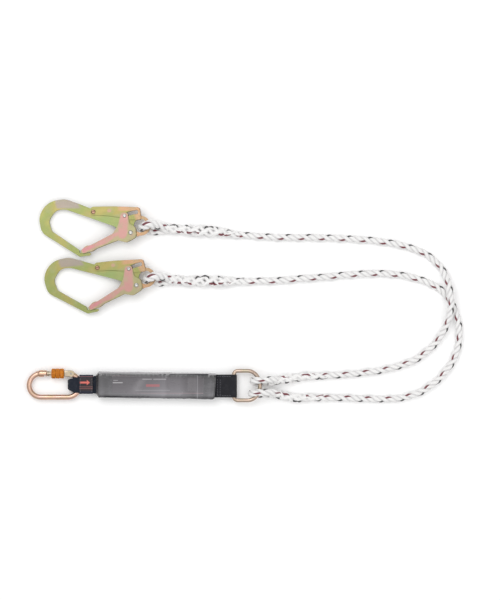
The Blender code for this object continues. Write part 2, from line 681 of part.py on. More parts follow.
def make_hook(side, mats):
    hole, turn, _ = HOOKS[side]
    frame = frame_empty(f"hook_{side}_frame", (*hole, TAIL_Z), turn, HOOK_TILT)
    tag = f"hook_{side}_"

    body = plate(tag + "body", hook_plate_outline(), -PLATE_HALF, PLATE_HALF,
                 [arc(0, 0, HOLE_R, 360, 18, 19)])
    put(body, tag + "body", mats["hook"], frame)
    cut(
        body,
        hole_through(tag + "body_gate_hole", GATE_PIVOT, RIVET_R + GAP),
        hole_through(tag + "body_lever_hole", LEVER_PIVOT, RIVET_R + GAP),
    )

    gate = plate(tag + "gate", hook_gate_outline(), -GATE_OUT, GATE_OUT)
    put(gate, tag + "gate", mats["gate"], frame)
    channel = [
        (0, 40), (-50, 40), (-50, -10), (-74, -24), (-74, -28.6), (-96.4, -40.2), (-104.2, -41.2),
        (-114.6, -50.6), (-122, -56), (-122, -70), (0, -70),
    ]
    cut(
        gate,
        plate(tag + "gate_channel", channel, -GATE_IN, GATE_IN),
        hole_through(tag + "gate_hole", GATE_PIVOT, RIVET_R + GAP),
        hole_through(tag + "gate_pin_hole", LATCH_PIN, PIN_R + GAP),
    )

    lever = plate(tag + "lever", hook_lever_outline(), -LEVER_OUT, LEVER_OUT, [window_outline()])
    put(lever, tag + "lever", mats["hook"], frame)
    inside = [(-110, 0), (20, 0), (20, 33.2), (-57, 35.2), (-94.6, 34.2), (-110, 34.2)]
    cut(
        lever,
        plate(tag + "lever_channel", inside, -LEVER_IN, LEVER_IN),
        hole_through(tag + "lever_hole", LEVER_PIVOT, RIVET_R + GAP),
    )

    rivet(tag + "gate_rivet", GATE_PIVOT, GATE_OUT + GAP + 0.4, 5.4, mats, frame)
    rivet(tag + "lever_rivet", LEVER_PIVOT, LEVER_OUT + GAP + 0.4, 5.4, mats, frame)
    pin = cylinder(tag + "latch_pin", PIN_R, 2 * GATE_OUT + 1.0, (*LATCH_PIN, 0), sides=20)
    put(pin, tag + "latch_pin", mats["steel"], frame)

    coil_z = (PLATE_HALF + GATE_IN) / 2
    coil = arc(*GATE_PIVOT, 6.0, -60, 235, 12)
    coil = [(coil[0][0] + 9, coil[0][1] - 3), *coil, (coil[-1][0] - 9, coil[-1][1] - 1.5)]
    put(tube(tag + "gate_spring", [(x, y, coil_z) for x, y in coil], 0.8, sides=1),
        tag + "gate_spring", mats["steel"], frame)

    leaf = box(tag + "lever_spring", (-84, 32.7, -3.2), (-62, 33.3, 3.2))
    put(leaf, tag + "lever_spring", mats["steel"], frame)


# ---------------------------------------------------------------- the whole

# Turns a section drawn in XY, extruded along Z, so that it runs along X with its height up
SECTION_TO_X = Matrix(((0, 0, 1, 0), (1, 0, 0, 0), (0, 1, 0, 0), (0, 0, 0, 1)))
LATCH_PIN_DISTANCE = (Vector(LATCH_PIN) - Vector(GATE_PIVOT)).length

clear_scene()
PARTS = collection("shock_absorbing_lanyard")
CUTTERS = collection("cutters")
MATERIALS = {
    "film": material("film", (0.13, 0.125, 0.135), 0.35),
    "webbing": material("webbing", (0.02, 0.022, 0.03), 0.85),
    "label": material("label", (0.16, 0.15, 0.165), 0.5),
    "tag": material("tag", (0.03, 0.035, 0.07), 0.55),
    "carabiner": material("carabiner", (0.73, 0.48, 0.35), 0.3, 1.0),
    "steel": material("steel", (0.62, 0.6, 0.58), 0.3, 1.0),
    "sleeve": material("sleeve", (0.6, 0.14, 0.01), 0.4),
    "rope": material("rope", (0.82, 0.81, 0.79), 0.8),
    "hook": material("hook", (0.43, 0.45, 0.11), 0.3, 1.0),
    "gate": material("gate", (0.6, 0.3, 0.26), 0.3, 1.0),
}
make_absorber(MATERIALS)
make_webbing(MATERIALS)
make_carabiner(MATERIALS)
make_ring(MATERIALS)
make_rope(MATERIALS)
for hook_side in HOOKS:
    make_hook(hook_side, MATERIALS)
    make_hook_eye(hook_side, MATERIALS)
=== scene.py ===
"""The looks of the twin-leg shock absorbing lanyard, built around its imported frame.

Lengths are in millimetres and are turned into metres where meshes are made. The rope routes and the
hooks' outlines repeat the CAD source's own points, which this script can't read.
"""

import math

import bmesh
import bpy
import numpy as np
from mathutils import Matrix, Vector, noise


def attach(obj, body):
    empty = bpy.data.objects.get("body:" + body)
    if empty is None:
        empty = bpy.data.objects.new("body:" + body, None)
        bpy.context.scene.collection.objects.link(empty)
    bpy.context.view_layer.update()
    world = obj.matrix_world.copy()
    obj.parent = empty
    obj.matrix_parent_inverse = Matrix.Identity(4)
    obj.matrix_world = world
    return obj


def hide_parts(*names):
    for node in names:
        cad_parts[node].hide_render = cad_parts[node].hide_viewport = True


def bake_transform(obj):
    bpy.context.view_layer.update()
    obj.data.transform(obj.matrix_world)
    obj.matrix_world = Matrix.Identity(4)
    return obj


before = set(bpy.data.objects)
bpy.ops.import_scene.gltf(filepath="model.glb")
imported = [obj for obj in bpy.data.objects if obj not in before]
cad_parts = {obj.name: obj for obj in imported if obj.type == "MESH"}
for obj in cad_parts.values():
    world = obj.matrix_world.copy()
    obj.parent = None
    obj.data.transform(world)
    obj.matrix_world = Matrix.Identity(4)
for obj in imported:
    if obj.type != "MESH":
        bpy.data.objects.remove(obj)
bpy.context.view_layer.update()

MM = 0.001
UP = np.array((0.0, 0.0, 1.0))
UV_SCALE = 0.01  # UV units for each millimetre along a piece
ARC_STEP = 7.0  # degrees between the points of a rounded corner
CURVE_STEPS = 24  # points between two points of a route, before they are spaced evenly

# The camera looks straight down on this point of the surface, and sees this much of it up and down
VIEW_CENTRE, VIEW_HEIGHT, CAMERA_Z = (181.8, 164.4), 1158.0, 6000.0

# Rope: three strands of ten yarns, laid right-handed
ROPE_D = 14.0
ROPE_Z = ROPE_D / 2 + 0.2
STRAND_R, CORE_R, MOST_CORE_R = 3.7, 3.35, 6.2
LAY_PITCH, RING_STEP = 39.5, 1.6
YARNS, YARN_RIDGE, STRAND_STRETCH = 10, 0.035, 0.13
BLACK_ANGLE, MAROON_ANGLE, TRACER_HALF = math.radians(34), math.radians(122), 0.08
LEG_PHASE = {"a": math.radians(40), "b": math.radians(-80)}
FLOOR_GAP = 0.15

# Splices: the tucked strands' pitch, their swell, and how far they pass over and under
TUCK_PITCH, SPLICE_SWELL, TUCK_DEPTH = 74.0, 0.7, 1.5

# Points of the legs' routes. Where no height is given, the rope lies on the surface
ROUTE_A = [
    (114, 296, 12.7), (134, 294, 9.5), (162, 290), (201, 287), (240, 285), (317, 284.5), (394, 281),
    (433, 277), (471, 270.5), (510, 258), (530, 246), (548, 229, 8.0), (557, 213, 12.5),
    (563, 197, 18.0), (566.5, 180, 21.5), (568.5, 160, 22.0), (567, 142, 20.5), (563, 124, 15.5),
    (555.5, 106, 10.0), (544, 87, 7.4), (526, 68), (500, 49), (471, 38), (433, 28.5), (394, 23.5),
    (355, 20), (332, 19), (300, 17.5, 8.5), (262, 14, 10.5),
]
ROUTE_B = [
    (124, 201, 12.0), (144, 200.5, 9.0), (172, 200), (201, 201), (240, 202), (278, 205.5), (317, 208),
    (355, 211.5), (394, 214.5), (433, 215.5), (471, 212.5), (510, 203.5), (540, 190.5), (557, 177),
    (569, 160), (579, 138), (584, 116), (585, 94), (581, 68), (573, 48), (560, 28), (542, 9), (510, -13),
    (471, -24.5), (433, -26.5), (394, -25.5), (355, -24), (326, -24.0), (296, -24.0, 8.5),
    (262, -23, 10.5),
]
ROUTES = {"a": ROUTE_A, "b": ROUTE_B}
THROAT_R, THROAT_Z = 10.2, 10.5
HOOK_SPLICE_R = (10.2, 10.2, 12.4, 12.2, 9.4, 7.4)
RING_SPLICE_R = (7.4, 8.6, 9.6, 9.6)
HOOK_FADE, RING_FADE = (0.72, 0.97), (0.04, 0.3)  # where the swell ends or begins, as shares of a splice
HOOK_TUCK_PHASE, RING_TUCK_PHASE = 0.9, 0.4
RING_SPLICE_X, RING_THROAT_Z = 226.5, 15.0
RING_EYE_Y = {"a": 8.4, "b": -15.4}
RING_CUT_X, RING_BLEND_X = 312.0, (204.0, 306.0)

# Eyes: how far the strands lie from the rope's middle line, and the strands' own radius
RING_EYE_R, RING_EYE_PHASE = (3.25, 3.6), 0.4
HOOK_EYE_R, HOOK_EYE_PHASE, HOOK_EYE_SWELL = (3.4, 3.75), 1.2, 0.24

# D-ring
RING_WIRE_R = 3.8
RING_BAR_X, RING_STRAIGHT_X, RING_BOW_X = 150.5, 178.0, 201.2
RING_HALF_WIDTH, RING_MID_Y, RING_CORNER_R = 28.4, -0.4, 8.0
RING_BAR_Z, RING_BOW_Z = 13.0, 18.7

# Scaffold hooks, each in its own frame: origin at the centre of the rope hole, +X towards the rope
TAIL_Z, HOOK_TILT = 18.4, math.radians(-4.1)
HOOKS = {
    "a": ((-28.6, 307.3), 0.0, (20.0, 301.5)),
    "b": ((-18.8, 207.8), math.radians(5.0), (29.0, 203.0)),
}
PLATE_HALF = 4.0
PLATE_EDGE, GATE_EDGE, LEVER_EDGE = 1.1, 0.7, 0.6
LEVER_IN, LEVER_OUT = 4.3, 6.3
GATE_IN, GATE_OUT = 6.6, 8.6
HOLE_R, RIM_R = 13.0, 19.0
GATE_PIVOT, LEVER_PIVOT, LATCH_PIN = (-18.5, -13.2), (-90.9, 26.6), (-30.3, 19.3)
PIN_R, RIVET_R = 3.0, 3.4
GATE_TRAVEL, LEVER_TRAVEL = math.radians(30), math.radians(3.4)
LATCH_PIN_DISTANCE = (Vector(LATCH_PIN) - Vector(GATE_PIVOT)).length


# ---------------------------------------------------------------- points


def arc(cx, cy, radius, start, end, steps):
    """Points along an arc, angles in degrees."""
    angles = [math.radians(start + (end - start) * i / steps) for i in range(steps + 1)]
    return [(cx + radius * math.cos(a), cy + radius * math.sin(a)) for a in angles]


def rounded(corners):
    """A closed outline from corners (x, y, radius), each one rounded to its radius."""
    points = []
    for i, (x, y, radius) in enumerate(corners):
        here = Vector((x, y))
        before = (Vector(corners[i - 1][:2]) - here).normalized()
        after = (Vector(corners[(i + 1) % len(corners)][:2]) - here).normalized()
        half = before.angle(after) / 2
        if radius == 0 or half > math.radians(88):
            points.append((x, y))
            continue
        middle = here + (before + after).normalized() * radius / math.sin(half)
        first = here + before * radius / math.tan(half) - middle
        last = here + after * radius / math.tan(half) - middle
        sweep = first.angle_signed(last)
        steps = max(2, round(abs(math.degrees(sweep)) / ARC_STEP))
        for k in range(steps + 1):
            spun = Matrix.Rotation(-sweep * k / steps, 2) @ first
            points.append(tuple(middle + spun))
    return points


def turned(point, centre, angle):
    spun = Matrix.Rotation(angle, 2) @ (Vector(point) - Vector(centre))
    return tuple(Vector(centre) + spun)


def smooth_path(route, step):
    """Points about a step apart on a smooth curve through the route's points."""
    knots = np.array(route, float)
    ends = np.vstack([2 * knots[0] - knots[1], knots, 2 * knots[-1] - knots[-2]])
    t = (np.arange(CURVE_STEPS) / CURVE_STEPS)[:, None]
    dense = []
    for p0, p1, p2, p3 in zip(ends, ends[1:], ends[2:], ends[3:]):
        dense.append(p1 + 0.5 * t * (p2 - p0) + t**2 * (p0 - 2.5 * p1 + 2 * p2 - 0.5 * p3)
                     + t**3 * (1.5 * (p1 - p2) + 0.5 * (p3 - p0)))
    dense = np.vstack([*dense, knots[-1:]])
    run = lengths(dense)
    count = max(3, round(run[-1] / step))
    at = np.linspace(0, run[-1], count + 1)
    return np.stack([np.interp(at, run, dense[:, axis]) for axis in range(3)], axis=1)


def lengths(path):
    """How far along the path each of its points is."""
    return np.concatenate([[0.0], np.cumsum(np.linalg.norm(np.diff(path, axis=0), axis=1))])


def frames(path, cyclic=False):
    """Two unit directions across the path at each point, left and up, carried along without a twist."""
    if cyclic:
        tangent = np.roll(path, -1, axis=0) - np.roll(path, 1, axis=0)
    else:
        tangent = np.gradient(path, axis=0)
    tangent /= np.linalg.norm(tangent, axis=1, keepdims=True)
    left = np.cross(UP, tangent[0])
    across = []
    for direction in tangent:
        left = left - left.dot(direction) * direction
        left = left / np.linalg.norm(left)
        across.append(left)
    across = np.array(across)
    return across, np.cross(tangent, across)


def ease(value, low, high):
    """0 below low, 1 above high, and a smooth step between."""
    t = np.clip((value - low) / (high - low), 0, 1)
    return t * t * (3 - 2 * t)


# ---------------------------------------------------------------- meshes


def skin(name, parts):
    """A mesh of closed tubes. Each part is (rings, v along them, material index, whether it is a loop)."""
    points, faces, uvs, indices = [], [], [], []
    for rings, along, index, cyclic in parts:
        base = len(points)
        count, sides = rings.shape[:2]
        points.extend(map(tuple, rings.reshape(-1, 3) * MM))
        for i in range(count if cyclic else count - 1):
            j = (i + 1) % count
            for k in range(sides):
                after = (k + 1) % sides
                faces.append((base + i * sides + k, base + i * sides + after,
                              base + j * sides + after, base + j * sides + k))
                v0, v1 = along[i], along[i + 1]
                uvs += [(k / sides, v0), ((k + 1) / sides, v0), ((k + 1) / sides, v1), (k / sides, v1)]
                indices.append(index)
        if not cyclic:
            for i, order in ((0, range(sides - 1, -1, -1)), (count - 1, range(sides))):
                faces.append(tuple(base + i * sides + k for k in order))
                uvs += [(k / sides, along[i]) for k in order]
                indices.append(index)
    mesh = bpy.data.meshes.new(name)
    mesh.from_pydata(points, [], faces)
    layer = mesh.uv_layers.new(name="UVMap")
    layer.data.foreach_set("uv", np.array(uvs, np.float32).ravel())
    mesh.polygons.foreach_set("material_index", indices)
    return placed(name, mesh)


def add(name, data):
    obj = bpy.data.objects.new(name, data)
    bpy.context.scene.collection.objects.link(obj)
    return obj


def placed(name, mesh, sharp=40):
    """The mesh as an object, shaded smooth up to an angle in degrees."""
    obj = add(name, mesh)
    mesh.shade_smooth()
    mesh.set_sharp_from_angle(angle=math.radians(sharp))
    return obj


def swept(path, section, cyclic=False):
    """Rings of a section, points (left, up), along a path."""
    left, up = frames(path, cyclic)
    return path[:, None] + section[None, :, :1] * left[:, None] + section[None, :, 1:] * up[:, None]


def circle(radius, sides):
    angles = 2 * np.pi * np.arange(sides) / sides
    return np.stack([np.cos(angles), np.sin(angles)], axis=1) * radius


def bar(name, path, radius, sides=32, cyclic=False):
    """A round bar along a path in millimetres."""
    path = np.array(path, float)
    along = lengths(np.vstack([path, path[:1]]) if cyclic else path)
    return skin(name, [(swept(path, circle(radius, sides), cyclic), along * UV_SCALE, 0, cyclic)])


def curve_mesh(curve, name):
    guide = add(name + "_guide", curve)
    bpy.context.view_layer.update()
    graph = bpy.context.evaluated_depsgraph_get()
    mesh = bpy.data.meshes.new_from_object(guide.evaluated_get(graph))
    body = bmesh.new()
    body.from_mesh(mesh)
    bmesh.ops.remove_doubles(body, verts=body.verts, dist=1e-6)
    bmesh.ops.dissolve_limit(body, angle_limit=math.radians(1), verts=body.verts, edges=body.edges)
    bmesh.ops.recalc_face_normals(body, faces=body.faces)
    body.to_mesh(mesh)
    body.free()
    bpy.data.objects.remove(guide)
    bpy.data.curves.remove(curve)
    return mesh


def plate(name, outline, low, high, holes=()):
    """A flat outline in the XY plane, from height low to high, with holes through it."""
    curve = bpy.data.curves.new(name, "CURVE")
    curve.dimensions = "2D"
    curve.fill_mode = "BOTH"
    curve.extrude = (high - low) / 2 * MM
    for ring in (outline, *holes):
        spline = curve.splines.new("POLY")
        spline.points.add(len(ring) - 1)
        for point, (x, y) in zip(spline.points, ring):
            point.co = (x * MM, y * MM, 0, 1)
        spline.use_cyclic_u = True
    mesh = curve_mesh(curve, name)
    mesh.transform(Matrix.Translation((0, 0, (low + high) / 2 * MM)))
    return placed(name, mesh, 30)


def from_body(name, body, place):
    mesh = bpy.data.meshes.new(name)
    body.to_mesh(mesh)
    body.free()
    mesh.transform(place)
    return placed(name, mesh)


def cylinder(name, radius, length, middle, axis="Z", sides=48):
    body = bmesh.new()
    bmesh.ops.create_cone(body, cap_ends=True, segments=sides, radius1=radius * MM,
                          radius2=radius * MM, depth=length * MM)
    turn = Matrix.Rotation(math.pi / 2, 4, "Y") if axis == "X" else Matrix()
    return from_body(name, body, Matrix.Translation(Vector(middle) * MM) @ turn)


def block(name, low, high):
    body = bmesh.new()
    bmesh.ops.create_cube(body, size=1.0)
    size = (Vector(high) - Vector(low)) * MM
    middle = (Vector(high) + Vector(low)) / 2 * MM
    return from_body(name, body, Matrix.Translation(middle) @ Matrix.Diagonal((*size, 1)))


def turned_rings(x, radii, middle):
    """Rings about a line along X. radii holds a row of radii for each ring."""
    disc = circle(1.0, radii.shape[1])
    return np.stack([np.broadcast_to(middle[0] + x[:, None], radii.shape), middle[1] + radii * disc[:, 0],
                     middle[2] + radii * disc[:, 1]], axis=2)


def turned_part(name, outline, middle):
    """A solid turned about a line along X from (x, radius) pairs, closed where the radius is near 0."""
    x, radii = np.array(outline, float).T
    rings = turned_rings(x, np.repeat(radii[:, None], 64, axis=1), middle)
    return skin(name, [(rings, (x - x[0]) * UV_SCALE, 0, False)])


def combine(obj, operation, *tools):
    """Booleans applied at once, and the tools removed."""
    for tool in tools:
        modifier = obj.modifiers.new("cut", "BOOLEAN")
        modifier.operation = operation
        modifier.solver = "EXACT"
        modifier.object = tool
    settle(obj)
    for tool in tools:
        bpy.data.objects.remove(tool)
    return obj


def evaluate(obj):
    """The object's modifiers turned into its mesh."""
    bpy.context.view_layer.update()
    graph = bpy.context.evaluated_depsgraph_get()
    mesh = bpy.data.meshes.new_from_object(obj.evaluated_get(graph))
    obj.modifiers.clear()
    obj.data = mesh


def settle(obj):
    """The object's modifiers turned into its mesh, shaded smooth up to 30 degrees."""
    evaluate(obj)
    obj.data.shade_smooth()
    obj.data.set_sharp_from_angle(angle=math.radians(30))
    return obj


def bevelled(obj, width, segments=3, angle=30):
    """Rounded edges of this width, with the faces between them left flat."""
    obj.data.shade_smooth()
    modifier = obj.modifiers.new("edge", "BEVEL")
    modifier.width = width * MM
    modifier.segments = segments
    modifier.limit_method = "ANGLE"
    modifier.angle_limit = math.radians(angle)
    modifier.miter_outer = "MITER_ARC"
    modifier.use_clamp_overlap = True
    modifier.harden_normals = True
    evaluate(obj)
    return obj


def dress(obj, *materials):
    """The object's materials, with each face keeping its index into them."""
    faces = obj.data.polygons
    kept = np.zeros(len(faces), np.int32)
    faces.foreach_get("material_index", kept)
    obj.data.materials.clear()
    for made in materials:
        obj.data.materials.append(made)
    faces.foreach_set("material_index", np.minimum(kept, len(materials) - 1))
    return obj


def assign(obj, body, node, slot, *materials):
    """The piece's materials, the body it rides on, the CAD node it stands for, and its slot, which is not
    used.
    """
    dress(obj, *materials)
    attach(obj, body)
    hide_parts(node)


# ---------------------------------------------------------------- material nodes


class Look:
    """A Principled material, with short calls that add nodes and return their output sockets."""

    def __init__(self, name, colour, roughness, metallic=0.0, **sockets):
        self.material = bpy.data.materials.new(name)
        self.material.use_nodes = True
        self.tree = self.material.node_tree
        self.shader = self.tree.nodes["Principled BSDF"]
        self.shader.inputs["Base Color"].default_value = (*colour, 1)
        self.shader.inputs["Roughness"].default_value = roughness
        self.shader.inputs["Metallic"].default_value = metallic
        for key, value in sockets.items():
            self.shader.inputs[key.replace("_", " ")].default_value = value

    def node(self, kind, inputs=(), **settings):
        made = self.tree.nodes.new("ShaderNode" + kind)
        for key, value in settings.items():
            setattr(made, key, value)
        for key, value in dict(inputs).items():
            self.feed(made.inputs[key], value)
        return made

    def feed(self, socket, value):
        if isinstance(value, bpy.types.NodeSocket):
            self.tree.links.new(value, socket)
        else:
            socket.default_value = value

    def coords(self, kind="Object", scale=(1, 1, 1)):
        source = self.node("TexCoord").outputs[kind]
        return self.node("Mapping", {"Vector": source, "Scale": scale}).outputs["Vector"]

    def axis(self, name, kind="Object"):
        """One coordinate, X, Y or Z, of the surface."""
        source = self.node("TexCoord").outputs[kind]
        return self.node("SeparateXYZ", {"Vector": source}).outputs[name]

    def noise(self, vector, scale, detail=3.0, roughness=0.55):
        return self.node("TexNoise", {"Vector": vector, "Scale": scale, "Detail": detail,
                                      "Roughness": roughness}).outputs["Fac"]

    def math(self, operation, first, second=0.0, third=0.0):
        made = self.node("Math", {0: first, 1: second, 2: third}, operation=operation)
        return made.outputs["Value"]

    def times(self, first, second):
        return self.math("MULTIPLY", first, second)

    def plus(self, first, second):
        return self.math("ADD", first, second)

    def minus(self, first, second):
        return self.math("SUBTRACT", first, second)

    def between(self, value, low, high, soft):
        """1 where value is between low and high, with soft edges."""
        middle, half = (low + high) / 2, (high - low) / 2
        away = self.math("ABSOLUTE", self.minus(value, middle))
        return self.node("MapRange", {"Value": away, "From Min": half - soft, "From Max": half + soft,
                                      "To Min": 1.0, "To Max": 0.0}).outputs["Result"]

    def box(self, x, y, x_range, y_range, x_soft, y_soft):
        """1 inside a rectangle of the XY plane, with soft edges."""
        return self.times(self.between(x, *x_range, x_soft), self.between(y, *y_range, y_soft))

    def mix(self, factor, first, second):
        made = self.node("Mix", data_type="RGBA")
        for socket, value in zip((made.inputs[0], made.inputs[6], made.inputs[7]), (factor, first, second)):
            if isinstance(value, tuple):
                value = (*value, 1)
            self.feed(socket, value)
        return made.outputs[2]

    def tint(self, base, mask, strength, colour):
        """The base colour, with another one laid over it where the mask is 1."""
        return self.mix(self.times(mask, strength), base, colour)

    def ramp(self, value, *stops):
        """Colours or greys against a value: each stop is (place, colour)."""
        made = self.node("ValToRGB", {"Fac": value})
        steps = made.color_ramp.elements
        while len(steps) < len(stops):
            steps.new(0.5)
        for step, (place, colour) in zip(steps, stops):
            step.position = place
            step.color = (*colour, 1) if isinstance(colour, tuple) else (colour, colour, colour, 1)
        return made.outputs["Color"]

    def away(self, x, y, first, last):
        """How far the surface is, in plan, from a line between two points in millimetres."""
        (ax, ay), (bx, by) = first, last
        dx, dy = (bx - ax) * MM, (by - ay) * MM
        size = dx * dx + dy * dy
        px, py = self.minus(x, ax * MM), self.minus(y, ay * MM)
        part = self.math("MULTIPLY_ADD", px, dx / size, self.times(py, dy / size))
        part = self.math("MINIMUM", self.math("MAXIMUM", part, 0.0), 1.0)
        ex = self.math("MULTIPLY_ADD", part, -dx, px)
        ey = self.math("MULTIPLY_ADD", part, -dy, py)
        return self.math("SQRT", self.math("MULTIPLY_ADD", ex, ex, self.times(ey, ey)))

    def bump(self, height, distance, strength):
        inputs = {"Height": height, "Distance": distance, "Strength": strength}
        return self.node("Bump", inputs).outputs["Normal"]

    def set(self, **sockets):
        for key, value in sockets.items():
            self.feed(self.shader.inputs[key.replace("_", " ")], value)
        return self.material


# ---------------------------------------------------------------- camera, floor and light


def make_stage():
    """The camera straight above, a pale floor, a graded sky, and two large soft lights."""
    lens = bpy.data.cameras.new("camera")
    lens.sensor_width = 36.0
    lens.lens = lens.sensor_width * CAMERA_Z / VIEW_HEIGHT
    lens.clip_end = 100
    camera = add("camera", lens)
    camera.location = Vector((*VIEW_CENTRE, CAMERA_Z)) * MM
    bpy.context.scene.camera = camera

    mesh = bpy.data.meshes.new("floor")
    half = 4.0
    mesh.from_pydata([(-half, -half, 0), (half, -half, 0), (half, half, 0), (-half, half, 0)], [],
                     [(0, 1, 2, 3)])
    floor = add("floor", mesh)
    look = Look("floor", (0.95, 0.95, 0.95), 0.9, Specular_IOR_Level=0.1,
                Emission_Color=(1.0, 1.0, 1.0, 1.0), Emission_Strength=0.1)
    grain = look.noise(look.coords(), 3.0)
    dress(floor, look.set(Base_Color=look.ramp(grain, (0.3, 0.915), (0.7, 0.945))))

    world = bpy.data.worlds.new("studio")
    bpy.context.scene.world = world
    world.use_nodes = True
    tree = world.node_tree
    back = tree.nodes["Background"]
    source = tree.nodes.new("ShaderNodeTexCoord")
    split = tree.nodes.new("ShaderNodeSeparateXYZ")
    ramp = tree.nodes.new("ShaderNodeValToRGB")
    steps = ramp.color_ramp.elements
    steps.new(0.6)
    for step, (height, grey) in zip(steps, ((0.0, 0.22), (0.6, 0.55), (1.0, 1.0))):
        step.position, step.color = height, (grey, grey, grey, 1)
    tree.links.new(source.outputs["Generated"], split.inputs[0])
    tree.links.new(split.outputs["Z"], ramp.inputs["Fac"])
    tree.links.new(ramp.outputs["Color"], back.inputs["Color"])
    back.inputs["Strength"].default_value = 1.14

    for name, place, size, power in (
        ("key", (-700, 1100, 2200), 1.4, 17),
        ("fill", (1300, -500, 2000), 2.0, 8),
    ):
        light = bpy.data.lights.new(name, "AREA")
        light.shape = "DISK"
        light.size = size
        light.energy = power
        obj = add(name, light)
        obj.location = Vector(place) * MM
        aim = Vector((*VIEW_CENTRE, 0)) * MM - obj.location
        obj.rotation_euler = aim.to_track_quat("-Z", "Y").to_euler()
    bpy.context.scene.view_settings.view_transform = "Standard"


# ---------------------------------------------------------------- rope


def rope_look(name, tracer=None, angle=0.0):
    """White yarns lying side by side along the rope, one of them a coloured tracer if there is one, with
    painted shade where the yarns meet and in the grooves between the strands.
    """
    look = Look(name, (0.8, 0.79, 0.77), 0.75, Sheen_Weight=0.15, Sheen_Roughness=0.5)
    uv = look.node("TexCoord").outputs["UV"]
    parts = look.node("SeparateXYZ", {"Vector": uv})
    round_it, along = parts.outputs["X"], parts.outputs["Y"]
    stretched = look.node("Mapping", {"Vector": uv, "Scale": (90, 14, 1)}).outputs["Vector"]
    fibre = look.noise(stretched, 1.0, 4.0)
    patch = look.noise(look.node("Mapping", {"Vector": uv, "Scale": (2, 1.3, 1)}).outputs["Vector"], 1.0)
    yarn = look.math("PINGPONG", look.times(round_it, YARNS), 0.5)
    white = look.mix(patch, (0.88, 0.87, 0.865), (0.98, 0.975, 0.965))
    # painted shade: darker lines where the yarns meet
    white = look.mix(look.ramp(yarn, (0.0, 0.4), (0.22, 0.0)), white, (0.5, 0.49, 0.48))
    # painted shade: darker in the grooves between the strands, where each yarn turns in towards the rope's
    # middle
    turn = look.math("MULTIPLY_ADD", along, -2.0, round_it)
    wave = look.math("COSINE", look.times(turn, 2 * math.pi))
    outward = look.math("MULTIPLY_ADD", wave, 0.5, 0.5)
    white = look.mix(look.ramp(outward, (0.45, 0.42), (0.86, 0.0)), white, (0.46, 0.45, 0.46))
    colour = white
    if tracer:
        wander = look.times(look.minus(patch, 0.5), 0.03)
        place = angle / math.pi
        mask = look.between(look.plus(round_it, wander), place - TRACER_HALF, place + TRACER_HALF,
                            0.012)
        frayed = look.times(mask, look.ramp(fibre, (0.25, 0.75), (0.55, 1.0)))
        colour = look.mix(frayed, white, tracer)
    height = look.plus(look.times(fibre, 0.6), yarn)
    return look.set(Base_Color=colour, Normal=look.bump(height, 0.0004, 0.7))


def strands(path, phase, core, radius, pitch=LAY_PITCH, hand=1):
    """Rings of the three strands of a rope along a path. core and radius are one value for each point.
    The rings turn back as fast as the strands turn round, so their edges run along the yarns."""
    run = lengths(path)
    left, up = frames(path)
    sides = 2 * YARNS
    angles = 2 * np.pi * np.arange(sides) / sides
    ridge = 1 + YARN_RIDGE * np.where(np.arange(sides) % 2, -1, 1)
    made = []
    for strand in range(3):
        theta = hand * 2 * np.pi * (run / pitch) + 2 * np.pi * strand / 3 + phase
        out = np.stack([np.cos(theta), np.sin(theta)], axis=1)
        side = np.stack([-np.sin(theta), np.cos(theta)], axis=1)
        yarn = angles[None] - theta[:, None]
        offset = np.stack([np.cos(yarn), np.sin(yarn)], axis=2) * (ridge * radius[:, None])[..., None]
        lean = (offset * side[:, None]).sum(axis=2, keepdims=True)
        flat = out[:, None] * core[:, None, None] + offset + STRAND_STRETCH * lean * side[:, None]
        rings = path[:, None] + flat[..., :1] * left[:, None] + flat[..., 1:] * up[:, None]
        made.append((rings, theta / (2 * np.pi)))
    return made


def rope_object(name, made, first=0, last=None):
    """The strands' rings from first to last as one mesh, with tracers in two of the strands."""
    parts = [(grounded(rings[first:last]), along[first:last], index, False)
             for (rings, along), index in zip(made, (1, 0, 2))]
    return dress(skin(name, parts), *ROPE_LOOKS)


def grounded(rings):
    """The rings, flattened where they would reach below the surface."""
    rings[..., 2] = np.maximum(rings[..., 2], FLOOR_GAP)
    return rings


def outer_radius(values, run, length):
    """A splice's outer radius along it, from values spread over its length."""
    return np.interp(run, np.linspace(0, length, len(values)), values)


def crossing(run, phase_gap):
    """Swings between 1 and -1 as the tucked strands pass over and under the rope's own."""
    rate = 1 / LAY_PITCH + 1 / TUCK_PITCH
    return np.cos(3 * np.pi * (run * rate - phase_gap / (2 * np.pi)))


def splice_rings(path, run, outer, phase, tuck_phase, fade):
    """The swell of a rope's own strands in a splice, and the rings of the strands tucked into it."""
    weave = TUCK_DEPTH * crossing(run, tuck_phase - phase) * fade
    room = np.maximum(outer - STRAND_R, CORE_R)
    tuck_r = np.maximum((STRAND_R + SPLICE_SWELL) * (0.35 + 0.65 * fade), 0.9)
    tuck_core = np.maximum(outer - tuck_r - TUCK_DEPTH * fade * 0.5 - weave * 0.5, 2.0)
    tucks = strands(path, tuck_phase, tuck_core, tuck_r, TUCK_PITCH, -1)
    own_core = CORE_R + (room - CORE_R) * fade * 0.7 + weave * 0.5
    return np.clip(own_core, CORE_R, MOST_CORE_R), tucks


